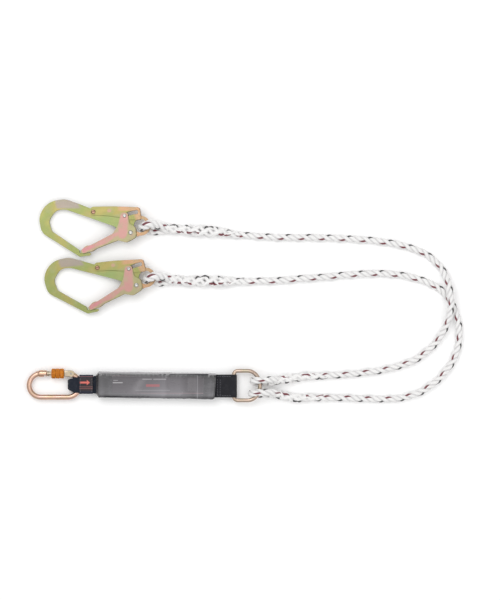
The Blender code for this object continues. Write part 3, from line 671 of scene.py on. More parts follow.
def make_leg(side):
    """One leg: its rope from throat to throat, and the strands tucked into it at both ends."""
    tx, ty = HOOKS[side][2]
    route = [point if len(point) == 3 else (*point, ROPE_Z) for point in ROUTES[side]]
    eye_y = RING_EYE_Y[side]
    start = [(tx + 2, ty, THROAT_Z), (tx + THROAT_R + 0.6, ty, THROAT_Z), (tx + 35.8, ty - 2, 10.4)]
    end = [(RING_SPLICE_X, eye_y, RING_THROAT_Z), (RING_SPLICE_X - 9, eye_y, RING_THROAT_Z + 0.8)]
    path = smooth_path([*start, *route, *end], RING_STEP)
    run, phase = lengths(path), LEG_PHASE[side]

    hook_end, ring_start = [np.linalg.norm(path - np.array(route[i]), axis=1).argmin() for i in (2, -3)]
    hook_length, ring_length = run[hook_end], run[-1] - run[ring_start]
    core, radius = np.full(len(path), CORE_R), np.full(len(path), STRAND_R)

    near = slice(0, hook_end + 1)
    fade = 1 - ease(run[near] / hook_length, *HOOK_FADE)
    outer = outer_radius(HOOK_SPLICE_R, run[near], hook_length)
    core[near], tucks = splice_rings(path[near], run[near], outer, phase, phase + HOOK_TUCK_PHASE, fade)
    radius[near] += SPLICE_SWELL * fade
    hook_tucks = rope_object(f"hook_splice_tucks_{side}", tucks)
    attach(hook_tucks, "absorber")

    far = slice(ring_start, len(path))
    ring_run = run[far] - run[ring_start]
    fade = ease(ring_run / ring_length, *RING_FADE)
    outer = outer_radius(RING_SPLICE_R, ring_run, ring_length)
    core[far], tucks = splice_rings(path[far], run[far], outer, phase, phase + RING_TUCK_PHASE, fade)
    radius[far] += 0.5 * SPLICE_SWELL * fade
    ring_tucks = rope_object(f"ring_splice_tucks_{side}", tucks)
    blend_ring(ring_tucks)

    made = strands(path, phase, core, radius)
    cut = int(np.nonzero((path[:, 0] > RING_CUT_X) | (run < run[-1] / 2))[0][-1])
    leg = rope_object("rope_" + side, made, 0, cut + 1)
    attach(leg, "absorber")
    ring_end = rope_object(f"ring_end_{side}", made, cut)
    blend_ring(ring_end)
    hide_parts("rope_leg_" + side, "hook_splice_" + side)
    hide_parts("ring_splice_" + side)

    eyes = make_eyes(side)


def blend_ring(piece):
    """The piece's placement baked into its mesh."""
    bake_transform(piece)


def tapered(path):
    """1 along an eye's rope, and less over its last stretch at each end, inside the splice."""
    run = lengths(path)
    return 0.55 + 0.45 * ease(np.minimum(run, run[-1] - run), 1, 15)


def bow_at(y):
    """Where the middle of the ring's bow is along X, at this distance across."""
    across = (y - RING_MID_Y) / RING_HALF_WIDTH
    return RING_STRAIGHT_X + (RING_BOW_X - RING_STRAIGHT_X) * math.sqrt(1 - across * across)


def make_eyes(side):
    """The rope's eye round the ring's bow, and its eye through the hook's tail."""
    eye_y = RING_EYE_Y[side]
    reach = RING_WIRE_R + ROPE_D / 2 + 0.9
    bow_x = min(bow_at(eye_y - 4), bow_at(eye_y + 4))
    crown = [
        (bow_x + reach * math.cos(math.radians(a)), RING_BOW_Z + reach * math.sin(math.radians(a)))
        for a in range(-90, -271, -15)
    ]
    low = [(240, 10.5), (231, 9.0), (RING_SPLICE_X - 4, 8.0), (212, 7.5)]
    high = [(212, RING_BOW_Z + reach - 0.3), (RING_SPLICE_X - 4, 25.6), (231, 22.0), (240, 17.5)]
    loop = low + crown + high
    slant = [-3.4 + 6.8 * i / (len(loop) - 1) for i in range(len(loop))]
    route = [(x, eye_y + dy * (1 - 0.5 * ease(abs(x - RING_BOW_X), 22, 40)), z)
             for (x, z), dy in zip(loop, slant)]
    path = smooth_path(route, RING_STEP)
    taper = tapered(path)
    made = strands(path, RING_EYE_PHASE, taper * RING_EYE_R[0], taper * RING_EYE_R[1])
    ring_eye = rope_object("ring_eye_rope_" + side, made)
    blend_ring(ring_eye)
    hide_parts("ring_eye_" + side)

    (hx, hy), (tx, ty) = HOOKS[side][::2]
    drop = TAIL_Z + PLATE_HALF + ROPE_D / 2 + 1.6
    route = [
        (tx + 15, ty + 1.5, 11.6), (tx + 6, ty + 2.6, 12.2), (tx - 3, ty + 3, 13.4),
        (tx - 18, ty + 6.5, 23.5), (hx + 18, hy + 2.4, drop + 2.4), (hx + 10, hy + 0.4, drop + 2.4),
        (hx + 2.8, hy - 2.5, 26), (hx + 0.8, hy - 3, TAIL_Z), (hx + 1.5, hy - 5.5, 12.5),
        (hx + 8, hy - 8, 7.7), (hx + 20, hy - 10.5, 7.4), (tx - 16, ty - 5.5, 8.2),
        (tx - 3, ty - 3, 9.2), (tx + 6, ty - 2.6, 9.6), (tx + 15, ty - 1.5, 10.0),
    ]
    path = smooth_path(route, RING_STEP)
    run = lengths(path)
    spread = tapered(path) * (1 + HOOK_EYE_SWELL * ease(run, 14, 34) * ease(-run, -76, -56))
    made = strands(path, HOOK_EYE_PHASE, spread * HOOK_EYE_R[0], spread * HOOK_EYE_R[1])
    hook_eye = rope_object("hook_eye_rope_" + side, made)
    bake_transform(hook_eye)
    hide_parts("hook_eye_" + side)
    return ring_eye, hook_eye


# ---------------------------------------------------------------- metals


def plated_look(name, light, deep, tint):
    """Zinc plating: its colour drifts between three tints, with fine scratches and dull patches."""
    look = Look(name, light, 0.3, 1.0)
    place = look.coords()
    drift = look.noise(place, 26.0, 2.0)
    cloud = look.noise(look.coords(scale=(1.0, 1.6, 1.3)), 67.6, 4.0)
    colour = look.mix(look.ramp(drift, (0.42, 0.0), (0.62, 1.0)), light, deep)
    colour = look.mix(look.ramp(cloud, (0.52, 0.0), (0.72, 0.8)), colour, tint)
    scratch = look.noise(look.coords(scale=(60, 900, 200)), 6.0, 2.0)
    fine = look.noise(place, 2600.0, 2.0)
    dull = look.ramp(cloud, (0.3, 0.24), (0.7, 0.4))
    height = look.plus(scratch, look.times(fine, 0.5))
    return look.set(Base_Color=colour, Roughness=dull, Normal=look.bump(height, 0.00012, 0.25))


def steel_look(name, dark, light):
    look = Look(name, light, 0.26, 1.0)
    turning = look.noise(look.coords(scale=(800, 800, 90)), 3.0, 2.0)
    stain = look.noise(look.coords(), 160.0, 3.0)
    colour = look.mix(stain, dark, light)
    return look.set(Base_Color=colour, Roughness=look.ramp(stain, (0.3, 0.2), (0.8, 0.36)),
                    Normal=look.bump(turning, 0.0001, 0.3))


def zinc_surface(look, colour):
    """Colour drifting as passivated zinc does, over fine scratches."""
    cloud = look.noise(look.coords(), 70.0, 4.0)
    colour = look.mix(look.ramp(cloud, (0.5, 0.0), (0.75, 0.45)), colour, (0.33, 0.33, 0.2))
    fine = look.noise(look.coords(), 1800.0, 2.0)
    scratch = look.noise(look.coords(scale=(50, 700, 50)), 5.0, 2.0)
    height = look.math("MULTIPLY_ADD", fine, 0.6, scratch)
    return look.set(Base_Color=colour, Roughness=look.ramp(cloud, (0.3, 0.28), (0.75, 0.44)),
                    Normal=look.bump(height, 0.00015, 0.3))


def hook_look():
    """Yellow-green plating: a pale patch on the bow, a pink mark on the lever, copper at the tail."""
    look = Look("hook_zinc", (0.3, 0.3, 0.1), 0.3, 0.9)
    x, y = look.axis("X"), look.axis("Y")
    drift = look.noise(look.coords(), 22.0, 2.0)
    colour = look.mix(look.ramp(drift, (0.42, 0.0), (0.62, 1.0)), (0.235, 0.26, 0.092), (0.31, 0.265, 0.095))
    green = look.box(x, y, (-0.1, -0.03), (-0.02, 0.019), 0.012, 0.004)
    colour = look.tint(colour, green, 0.6, (0.21, 0.29, 0.12))
    wander = look.times(look.minus(drift, 0.5), 0.02)
    spread = look.plus(look.math("MULTIPLY_ADD", y, 0.3, x), wander)
    patch = look.box(spread, y, (-0.15, -0.109), (0.0335, 0.06), 0.0025, 0.002)
    colour = look.tint(colour, patch, 0.85, (0.27, 0.225, 0.21))
    mark = look.away(x, y, (-60.5, 28.9), (-59.5, 28.9))
    colour = look.tint(colour, look.between(mark, -0.01, 0.0033, 0.0006), 0.8, (0.42, 0.24, 0.19))
    loop = look.box(look.plus(x, wander), y, (-0.039, 0.03), (0.0285, 0.05), 0.004, 0.0015)
    back = look.between(x, -0.0075, 0.03, 0.0015)
    rim = look.between(look.math("MULTIPLY_ADD", y, 0.35, x), -0.0045, 0.03, 0.003)
    copper = look.math("MAXIMUM", look.math("MAXIMUM", loop, back), rim)
    colour = look.tint(colour, copper, 0.85, (0.44, 0.25, 0.155))
    return zinc_surface(look, colour)


def gate_look():
    """Grey-green plating with pink-mauve down the middle of the arm and the cheek."""
    look = Look("gate_zinc", (0.4, 0.25, 0.2), 0.3, 0.9)
    x, y = look.axis("X"), look.axis("Y")
    drift = look.noise(look.coords(), 45.0, 2.0)
    edge = look.mix(look.ramp(drift, (0.4, 0.0), (0.62, 1.0)), (0.3, 0.285, 0.15), (0.34, 0.26, 0.18))
    arm = look.away(x, y, (-44, -15), (-86, -37))
    tip = look.away(x, y, (-90, -39), (-108, -46.5))
    cheek = look.away(x, y, (-32, 16), (-35, -16))
    wander = look.times(look.minus(drift, 0.5), 0.012)
    pink = look.math("MAXIMUM", look.between(look.plus(arm, wander), -0.05, 0.0042, 0.0014),
                     look.between(look.plus(cheek, wander), -0.05, 0.0082, 0.0018))
    colour = look.mix(look.times(pink, 0.95), edge, (0.42, 0.225, 0.205))
    colour = look.mix(look.between(look.plus(tip, wander), -0.05, 0.004, 0.0015), colour,
                      (0.44, 0.2, 0.205))
    return zinc_surface(look, colour)


def sleeve_look():
    look = Look("orange_sleeve", (0.62, 0.17, 0.008), 0.4, Coat_Weight=0.08, Specular_IOR_Level=0.25)
    wear = look.noise(look.coords(), 240.0, 4.0)
    colour = look.mix(look.ramp(wear, (0.35, 0.0), (0.7, 1.0)), (0.62, 0.2, 0.002), (0.4, 0.11, 0.001))
    return look.set(Base_Color=colour, Roughness=look.ramp(wear, (0.3, 0.3), (0.8, 0.5)),
                    Normal=look.bump(wear, 0.0003, 0.3))


# ---------------------------------------------------------------- scaffold hooks


def hook_plate_outline():
    """The forged plate: rim, spine, bow and nose in one outline."""
    rim = arc(0, 0, RIM_R, -95, 112, 36)
    bed = arc(*GATE_PIVOT, LATCH_PIN_DISTANCE - PIN_R - 0.5, 76, 117, 9)
    back = rounded([
        (bed[-1][0], bed[-1][1], 0), (-37.5, 26.4, 2), (-60, 29.6, 0), (-97, 33.5, 8),
        (-120, 42.5, 30), (-146, 51.8, 34), (-181, 46, 38), (-197.5, 17, 34), (-191, -13.5, 22),
        (-117.5, -59.6, 3), (-97, -57.0, 2), (-95.5, -52.3, 1.5), (-117.2, -52.2, 1),
        (-118.8, -46.3, 3), (-171.6, -10.4, 11),
        (-177.6, 10, 14), (-163, 31.5, 20), (-143.3, 31.1, 30), (-46.5, -2.8, 12), (-40.5, -24, 10),
        (-33, -32.5, 9), (-13, -24.5, 8), (rim[0][0], rim[0][1], 0),
    ])
    return rim + bed + back[1:-1]


def hook_gate_outline():
    return rounded([
        (-37.2, 25.4, 5.6), (-24.2, 25.4, 5.6), (-21.5, 4, 8), (-9.0, -3, 8), (-7.4, -22, 9),
        (-27, -32.6, 8), (-43, -28, 6), (-84.2, -43.6, 6), (-92, -49.0, 3), (-112.5, -54.0, 2.5),
        (-116.0, -48.8, 2.0), (-105, -38.4, 5), (-96, -37.4, 6), (-53.2, -15.4, 12), (-42.6, 2, 14),
    ])


def hook_lever_outline():
    return rounded([
        (-97.2, 20.4, 6), (-97.2, 36.6, 7), (-57, 37.4, 0), (-2.0, 35.6, 5), (2.0, 11.6, 3),
        (-25, 11.0, 3), (-38, 15.5, 6), (-60, 18.6, 10), (-78, 20, 8),
    ])


def window_outline():
    """The slot in the lever that the latch pin runs along as the gate and the lever turn."""
    steps = 12
    track = []
    for k in range(steps + 1):
        part = k / steps
        pin = turned(LATCH_PIN, GATE_PIVOT, -GATE_TRAVEL * part)
        track.append(Vector(turned(pin, LEVER_PIVOT, LEVER_TRAVEL * part)))
    track.append(track[-1] + (track[-1] - track[-2]) * 2.8)
    clear = PIN_R + 0.6
    sides = ([], [])
    for i, point in enumerate(track):
        along = (track[min(i + 1, len(track) - 1)] - track[max(i - 1, 0)]).normalized()
        across = Vector((-along.y, along.x)) * clear
        sides[0].append(tuple(point + across))
        sides[1].append(tuple(point - across))
    first, last = track[0], track[-1]
    start = math.degrees(math.atan2(*(Vector(sides[0][0]) - first).yx))
    end = math.degrees(math.atan2(*(Vector(sides[1][-1]) - last).yx))
    near = arc(*first, clear, start, start + 180, 14)[1:-1]
    far = arc(*last, clear, end, end + 180, 14)[1:-1]
    return sides[0][::-1] + near + sides[1] + far


def rivet(name, place, half, head_r):
    """A rivet turned from one profile: shank, and a domed head with a dimple at each end."""
    top = half + 0.9
    profile = [(0.01, top - 0.35), (head_r * 0.25, top - 0.3), (head_r * 0.55, top),
               (head_r * 0.85, top - 0.3), (head_r, half - 0.1), (head_r, half - 0.4),
               (RIVET_R, half - 0.42)]
    profile += [(r, -z) for r, z in reversed(profile)]
    disc = circle(1.0, 40)
    rings = np.array([[(place[0] + r * x, place[1] + r * y, z) for x, y in disc] for r, z in profile[::-1]])
    return skin(name, [(rings, np.arange(len(profile)) * 0.1, 0, False)])


def make_hook(side, looks):
    """The forging, its gate and lever with their rivets and pin, and the two springs."""
    hole, turn = HOOKS[side][:2]
    place = (Matrix.Translation(Vector((*hole, TAIL_Z)) * MM) @ Matrix.Rotation(turn, 4, "Z")
             @ Matrix.Rotation(HOOK_TILT, 4, "Y"))
    plate_body = "hook_" + side
    gate_body, tag = plate_body + "_gate", plate_body + "_"

    def finish(obj, node, body, look, slot):
        obj.matrix_world = place
        assign(obj, body, tag + node, slot, looks[look])

    forging = plate(tag + "plate", hook_plate_outline(), -PLATE_HALF, PLATE_HALF,
                    [arc(0, 0, HOLE_R, 360, 8, 44)])
    bevelled(forging, PLATE_EDGE, 4)
    finish(forging, "body", plate_body, "hook", "hook_zinc")

    gate = plate(tag + "gate_cheeks", hook_gate_outline(), -GATE_OUT, GATE_OUT)
    channel = [
        (0, 40), (-50, 40), (-50, -10), (-74, -24), (-74, -28.6), (-96.4, -40.2), (-104.2, -41.2),
        (-114.6, -50.6), (-122, -56), (-122, -70), (0, -70),
    ]
    combine(gate, "DIFFERENCE", plate("gate_channel", channel, -GATE_IN, GATE_IN))
    bevelled(gate, GATE_EDGE)
    finish(gate, "gate", gate_body, "gate", "gate_zinc")

    lever = plate(tag + "lever_cheeks", hook_lever_outline(), -LEVER_OUT, LEVER_OUT, [window_outline()])
    inside = [(-110, 0), (20, 0), (20, 33.2), (-57, 35.2), (-94.6, 34.2), (-110, 34.2)]
    combine(lever, "DIFFERENCE", plate("lever_channel", inside, -LEVER_IN, LEVER_IN))
    bevelled(lever, LEVER_EDGE)
    finish(lever, "lever", plate_body + "_lever", "hook", "hook_zinc")

    for node, pivot, half, head_r, body, look in (
        ("gate_rivet", GATE_PIVOT, GATE_OUT + 0.7, 4.2, plate_body, "steel"),
        ("lever_rivet", LEVER_PIVOT, LEVER_OUT + 0.7, 4.4, plate_body, "brown"),
        ("latch_pin", LATCH_PIN, GATE_OUT + 0.5, 3.7, gate_body, "steel"),
    ):
        finish(rivet(tag + node + "_turned", pivot, half, head_r), node, body, look, "bare_steel")

    coil_z = (PLATE_HALF + GATE_IN) / 2
    coil = arc(*GATE_PIVOT, 6.0, -60, 235, 40)
    coil = [(coil[0][0] + 9, coil[0][1] - 3), *coil, (coil[-1][0] - 9, coil[-1][1] - 1.5)]
    spring = bar(tag + "gate_coil", [(x, y, coil_z) for x, y in coil], 0.8, 10)
    finish(spring, "gate_spring", plate_body, "steel", "bare_steel")
    leaf = bevelled(block(tag + "lever_leaf", (-84, 32.7, -3.2), (-62, 33.3, 3.2)), 0.15, 2)
    finish(leaf, "lever_spring", plate_body, "steel", "bare_steel")


# ---------------------------------------------------------------- carabiner and ring

CARABINER_Z, CARABINER_WIRE_R = 9.9, 5.0
BEND_R, BEND_X = 22.75, (-169.3, -221.0)
HINGE_X, FORK_R, FORK_HALF = -163.0, 6.0, 6.5
NOSE_X, NOSE_R = (-227.4, -210.0), 6.75
GATE_ROD_R, SLEEVE_X, SLEEVE_R = 4.1, (-200.5, -176.6), 9.5
SLEEVE_BORE_R, SLEEVE_MOUTH_R, SLEEVE_MOUTH_DEPTH = 4.6, 8.0, 15.0
LATCH_PIN_X = -213.4


def make_carabiner(looks):
    """Wire and nose, gate and sleeve. The gate's middle line lies at y = BEND_R, z = CARABINER_Z."""
    y, z = BEND_R, CARABINER_Z
    right, left = BEND_X
    path = [(left + 4, y), *arc(left, 0, BEND_R, 90, 270, 60), *arc(right, 0, BEND_R, -90, 70, 54)]
    wire = bar("carabiner_wire", [(px, py, z) for px, py in path], CARABINER_WIRE_R, 40)
    nose_length = NOSE_X[1] - NOSE_X[0]
    nose = turned_part("nose", [(-3.0, 0.01), (-3.0, 4.2), (1.0, 5.2), (3.5, NOSE_R - 0.3), (5.0, NOSE_R),
                                (nose_length - 0.6, NOSE_R), (nose_length, NOSE_R - 0.6),
                                (nose_length, 0.01)], (NOSE_X[0], y, z))
    tongue = cylinder("tongue", FORK_R, 5.2, (HINGE_X, y, z))
    combine(wire, "UNION", nose, tongue)
    recesses = [cylinder("recess", FORK_R + 0.7, 6, (HINGE_X, y, z + off), sides=56) for off in (-5.7, 5.7)]
    combine(
        wire, "DIFFERENCE", *recesses,
        cylinder("tongue_hole", 1.8, 12, (HINGE_X, y, z)),
        block("nose_slot", (NOSE_X[1] - 7.2, y - 9, z - 2.6), (NOSE_X[1] + 1, y + 9, z + 2.6)),
        block("pin_groove", (LATCH_PIN_X - 1.8, y - 9, z - 6), (LATCH_PIN_X + 1.8, y + 1.7, z + 6)),
    )
    assign(wire, "carabiner", "carabiner_body", "plated_steel", looks["plated"])

    fork_end = SLEEVE_X[1] + 0.4
    fork = block("carabiner_fork", (fork_end, y - FORK_R, z - FORK_HALF),
                 (HINGE_X, y + FORK_R, z + FORK_HALF))
    bevelled(fork, 1.2)
    rod_end = NOSE_X[1] + 0.5
    collar = turned_part("collar", [(0, 0.01), (0, 4.3), (0.6, 5.0), (3.2, 5.0), (3.8, 4.3), (3.8, 0.01)],
                         (rod_end + 0.4, y, z))
    combine(
        fork, "UNION", cylinder("fork_round", FORK_R, 2 * FORK_HALF, (HINGE_X, y, z), sides=56), collar,
        cylinder("gate_rod", GATE_ROD_R, fork_end + 1 - rod_end, ((fork_end + 1 + rod_end) / 2, y, z), "X"),
        block("gate_tip", (LATCH_PIN_X - 2.6, y - 3.4, z - 2.2), (rod_end + 1, y + 3.4, z + 2.2)),
    )
    bore_end = HINGE_X - FORK_R - 0.6
    combine(
        fork, "DIFFERENCE",
        block("fork_slot", (bore_end, y - 8, z - 3.0), (HINGE_X + 8, y + 8, z + 3.0)),
        cylinder("spring_bore", 2.4, 18, (bore_end - 8, y, z), "X"),
        cylinder("fork_holes", 1.8, 20, (HINGE_X, y, z)),
        cylinder("latch_hole", 1.6, 20, (LATCH_PIN_X, y, z)),
    )
    assign(fork, "carabiner_gate", "carabiner_gate", "bare_steel", looks["fork"])
    assign(make_sleeve(), "screw_sleeve", "screw_sleeve", "sleeve", looks["sleeve"])
    for node in ("gate_hinge_pin", "gate_latch_pin", "gate_plunger", "gate_spring"):
        dress(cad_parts[node], looks["steel"])


def make_sleeve():
    """The screw sleeve: three knurled bands with plain grooves between, bored for the rod and the nose."""
    bands, knurls, knurl_depth, sides = 3, 24, 0.35, 144
    length = SLEEVE_X[1] - SLEEVE_X[0]
    band = length / bands
    rows = [(0.0, SLEEVE_R - 0.9)]
    for i in range(bands):
        for at, depth in ((0.5, 0.5), (1.1, 0.0), (band - 1.1, 0.0), (band - 0.5, 0.5)):
            rows.append((i * band + at, SLEEVE_R - depth))
        if i < bands - 1:
            rows += [((i + 1) * band + offset, SLEEVE_R - 1.5) for offset in (-0.25, 0.25)]
    rows += [(length, SLEEVE_R - 0.9), (length, SLEEVE_BORE_R), (SLEEVE_MOUTH_DEPTH, SLEEVE_BORE_R),
             (SLEEVE_MOUTH_DEPTH, SLEEVE_MOUTH_R), (0.0, SLEEVE_MOUTH_R)]
    x, radii = np.array(rows).T[..., None]
    angles = 2 * np.pi * np.arange(sides) / sides
    sizes = radii + knurl_depth * (np.cos(knurls * angles) - 1) * (radii >= SLEEVE_R - 0.01)
    rings = turned_rings(x[:, 0], sizes, (SLEEVE_X[0], BEND_R, CARABINER_Z))
    return skin("knurled_sleeve", [(rings, np.arange(len(rings) + 1) * 0.1, 0, True)])


def make_ring(looks):
    """The D-ring, tilted up from its straight bar to its bow."""
    length = RING_BOW_X - RING_BAR_X
    tilt = -math.asin((RING_BOW_Z - RING_BAR_Z) / length)
    straight, half, corner = RING_STRAIGHT_X - RING_BAR_X, RING_HALF_WIDTH, RING_CORNER_R
    path = [(0, 0), *arc(corner, half - corner, corner, 180, 90, 10)]
    path += [
        (straight + (length - straight) * math.sin(math.radians(a)), half * math.cos(math.radians(a)))
        for a in range(0, 181, 4)
    ]
    path += arc(corner, corner - half, corner, 270, 180, 10)
    ring = bar("d_ring_wire", [(x, y, 0.0) for x, y in path], RING_WIRE_R, cyclic=True)
    ring.matrix_world = (Matrix.Translation(Vector((RING_BAR_X, RING_MID_Y, RING_BAR_Z)) * MM)
                         @ Matrix.Rotation(tilt, 4, "Y"))
    assign(ring, "ring", "d_ring", "plated_steel", looks["ring"])


# ---------------------------------------------------------------- pack, webbing and tag

PACK_LENGTH, PACK_WIDTH, PACK_HEIGHT = 230.4, 51.6, 26.0
PACK_SQUARENESS = 5.5
PACK_SLANT, END_SLANT = math.radians(0.85), 2.0
TEAR_WIDTH, TEAR_LENGTH, TEAR_LAYERS = 44.0, 202.0, 10
LABEL_X, LABEL_Y, LABEL_T = (-84.0, 93.0), (-16.0, 18.6), 0.26
WEB_T, LAYER_GAP, EYE_GAP = 2.0, 0.3, 0.5
PACK_Z, PACK_TAIL_X = PACK_HEIGHT / 2, 103.3
FILM_HALF = (PACK_WIDTH / 2 - 0.6, PACK_HEIGHT / 2 - 0.9)
FRONT_END_X, FRONT_Y, FRONT_BLEND_X = -169.3, 0.6, (-110.0, -126.0)
REAR_WIDTH, REAR_Y = 44.0, RING_MID_Y - 0.8
TAG_X, TAG_WIDTH, TAG_WALL, TAG_SHIFT = (-146.4, -120.9), 36.6, 1.0, 2.0
STITCH, STITCH_GAP, THREAD_R = 3.0, 1.6, 0.3


def weave(look, warp=1.25, weft=1.7):
    """Height of a herringbone weave over the XY plane, 0 to 1, from two crossed waves."""
    x, y = look.axis("X"), look.axis("Y")
    column = look.math("PINGPONG", y, 0.0055)
    across = look.plus(x, look.times(column, 0.8))
    threads = look.math("SINE", look.times(across, 2 * math.pi / (weft * MM)))
    cords = look.math("SINE", look.times(y, 2 * math.pi / (warp * MM)))
    return look.math("MULTIPLY_ADD", look.times(threads, cords), 0.5, 0.5)


def webbing_look(name, dark, light):
    look = Look(name, dark, 0.8, Sheen_Weight=0.35, Sheen_Roughness=0.4, Specular_IOR_Level=0.3)
    pattern = weave(look)
    dust = look.noise(look.coords(), 90.0, 4.0)
    colour = look.mix(look.times(pattern, 0.7), dark, light)
    colour = look.mix(look.ramp(dust, (0.5, 0.0), (0.8, 0.3)), colour, (0.09, 0.09, 0.1))
    fuzz = look.noise(look.coords(), 2200.0, 2.0)
    height = look.plus(pattern, look.times(fuzz, 0.4))
    return look.set(Base_Color=colour, Roughness=look.ramp(dust, (0.3, 0.72), (0.8, 0.92)),
                    Normal=look.bump(height, 0.0004, 0.8))


def thread_look():
    look = Look("thread", (0.16, 0.16, 0.18), 0.7, Sheen_Weight=0.3)
    twist = look.noise(look.coords(scale=(1500, 1500, 600)), 1.0, 1.0)
    return look.set(Base_Color=look.mix(twist, (0.1, 0.1, 0.12), (0.22, 0.22, 0.24)),
                    Normal=look.bump(twist, 0.0001, 0.6))


def film_grey_and_shade(look):
    """Grey of the wrap with painted shade: darker under its far edge and paler towards the near one, as the
    light falls across the pack; along it partly its own uneven grey, partly painted soft shadows in its
    folds.
    """
    x, y = look.axis("X"), look.axis("Y")
    along = look.math("MULTIPLY_ADD", x, 1 / 0.24, 0.5)
    level = look.math("MULTIPLY_ADD", x, math.tan(PACK_SLANT), y)
    aside = look.math("MULTIPLY_ADD", level, 1 / 0.052, 0.5)
    # along the pack: partly the film's own uneven grey, partly painted shadow in soft dark bands at its folds
    # near the left end
    tone = look.ramp(along, (0.0, 0.25), (0.035, 0.3), (0.067, 0.48), (0.1, 0.36), (0.132, 0.45), (0.26, 0.5),
                     (0.373, 0.6), (0.453, 0.65), (0.534, 0.8), (0.566, 0.88), (0.598, 0.7), (0.695, 0.74),
                     (0.743, 0.5), (0.807, 0.4), (0.834, 0.55), (0.8635, 0.45), (0.904, 0.38), (0.936, 0.5),
                     (0.975, 0.25))
    # painted shade across the pack: dark just under the far edge, paler towards the near edge
    side = look.ramp(aside, (0.08, 0.4), (0.17, 0.8), (0.29, 0.65), (0.5, 0.5), (0.73, 0.38), (0.86, 0.16),
                     (0.93, 0.2))
    grey = look.mix(look.times(tone, side), (0.0, 0.0, 0.0), (0.4, 0.388, 0.42))
    seam = look.between(x, 0.0801, 0.0813, 0.0004)
    return look.mix(look.times(seam, 0.35), grey, (0.5, 0.5, 0.52))


def film_look():
    """Shrunk plastic film: glossy, creased, with a painted highlight where it turns over the far edge."""
    look = Look("shrink_film", (0.14, 0.135, 0.145), 0.3, Coat_Weight=0.5, Coat_Roughness=0.12)
    cloud = look.noise(look.coords(scale=(1.0, 2.5, 2.5)), 30.0, 4.0)
    level = look.math("MULTIPLY_ADD", look.axis("X"), math.tan(PACK_SLANT), look.axis("Y"))
    # painted highlight: a pale band where the film turns over its far edge
    edge = look.between(level, 0.0218, 0.03, 0.001)
    colour = look.mix(look.times(edge, 0.8), film_grey_and_shade(look), (0.5, 0.49, 0.5))
    colour = look.mix(look.ramp(cloud, (0.5, 0.0), (0.78, 0.3)), colour, (0.24, 0.235, 0.25))
    creases = look.noise(look.coords(scale=(1.6, 0.5, 0.5)), 130.0, 3.0, 0.7)
    fine = look.noise(look.coords(scale=(0.5, 1.6, 1.0)), 420.0, 3.0)
    folds = look.ramp(creases, (0.4, 0.0), (0.5, 1.0), (0.6, 0.0))
    height = look.math("MULTIPLY_ADD", fine, 0.2, folds)
    return look.set(Base_Color=colour, Roughness=look.ramp(cloud, (0.3, 0.2), (0.75, 0.36)),
                    Normal=look.bump(height, 0.0004, 0.3))


def label_look():
    """The printed sheet under the film, with plain bars in place of everything printed on it, the film's
    painted shade, and a painted highlight on a fold.
    """
    look = Look("printed_label", (0.17, 0.16, 0.175), 0.32, Coat_Weight=0.45, Coat_Roughness=0.15)
    x, y = look.axis("X"), look.axis("Y")
    cloud = look.noise(look.coords(scale=(1.0, 2.0, 2.0)), 40.0, 3.0)
    # the film's grey with its painted shade, faintly tinted
    colour = look.mix(0.12, film_grey_and_shade(look), (0.2, 0.15, 0.18))
    bars = (
        (LABEL_X, (18.4, 19.1), (0.45, 0.32, 0.34), 0.35), (LABEL_X, (-15.2, -14.5), (0.55, 0.36, 0.38), 0.5),
        ((-81, -72), (9.5, 10.4), (0.55, 0.54, 0.56), 0.6), ((-82, -63), (4.6, 6.4), (0.6, 0.59, 0.6), 0.6),
        ((-25, -7), (11.2, 13.0), (0.6, 0.58, 0.6), 0.4), ((-4, 20), (11.2, 13.0), (0.6, 0.58, 0.6), 0.4),
        ((-18, 8), (-2.4, 2.4), (0.5, 0.1, 0.11), 0.55), ((-38, 28), (-9.4, -8.8), (0.6, 0.58, 0.6), 0.45),
        ((62, 78), (-11, 14), (0.3, 0.29, 0.3), 0.16),
    )
    for (left, right), (low, high), tint, strength in bars:
        inside = look.box(x, y, (left * MM, right * MM), (low * MM, high * MM), 0.0004, 0.0003)
        colour = look.tint(colour, inside, strength, tint)
    # painted highlight: a paler diagonal band along a fold in the label
    fold = look.between(look.math("MULTIPLY_ADD", y, -0.6, x), -0.039, -0.026, 0.005)
    fold = look.times(fold, look.between(y, -0.012, 0.012, 0.004))
    colour = look.tint(colour, fold, 0.14, (0.5, 0.48, 0.5))
    creases = look.noise(look.coords(scale=(1.8, 0.5, 0.5)), 120.0, 3.0, 0.7)
    folds = look.ramp(creases, (0.4, 0.0), (0.5, 1.0), (0.6, 0.0))
    return look.set(Base_Color=colour, Roughness=look.ramp(cloud, (0.3, 0.24), (0.8, 0.4)),
                    Normal=look.bump(folds, 0.0004, 0.22))


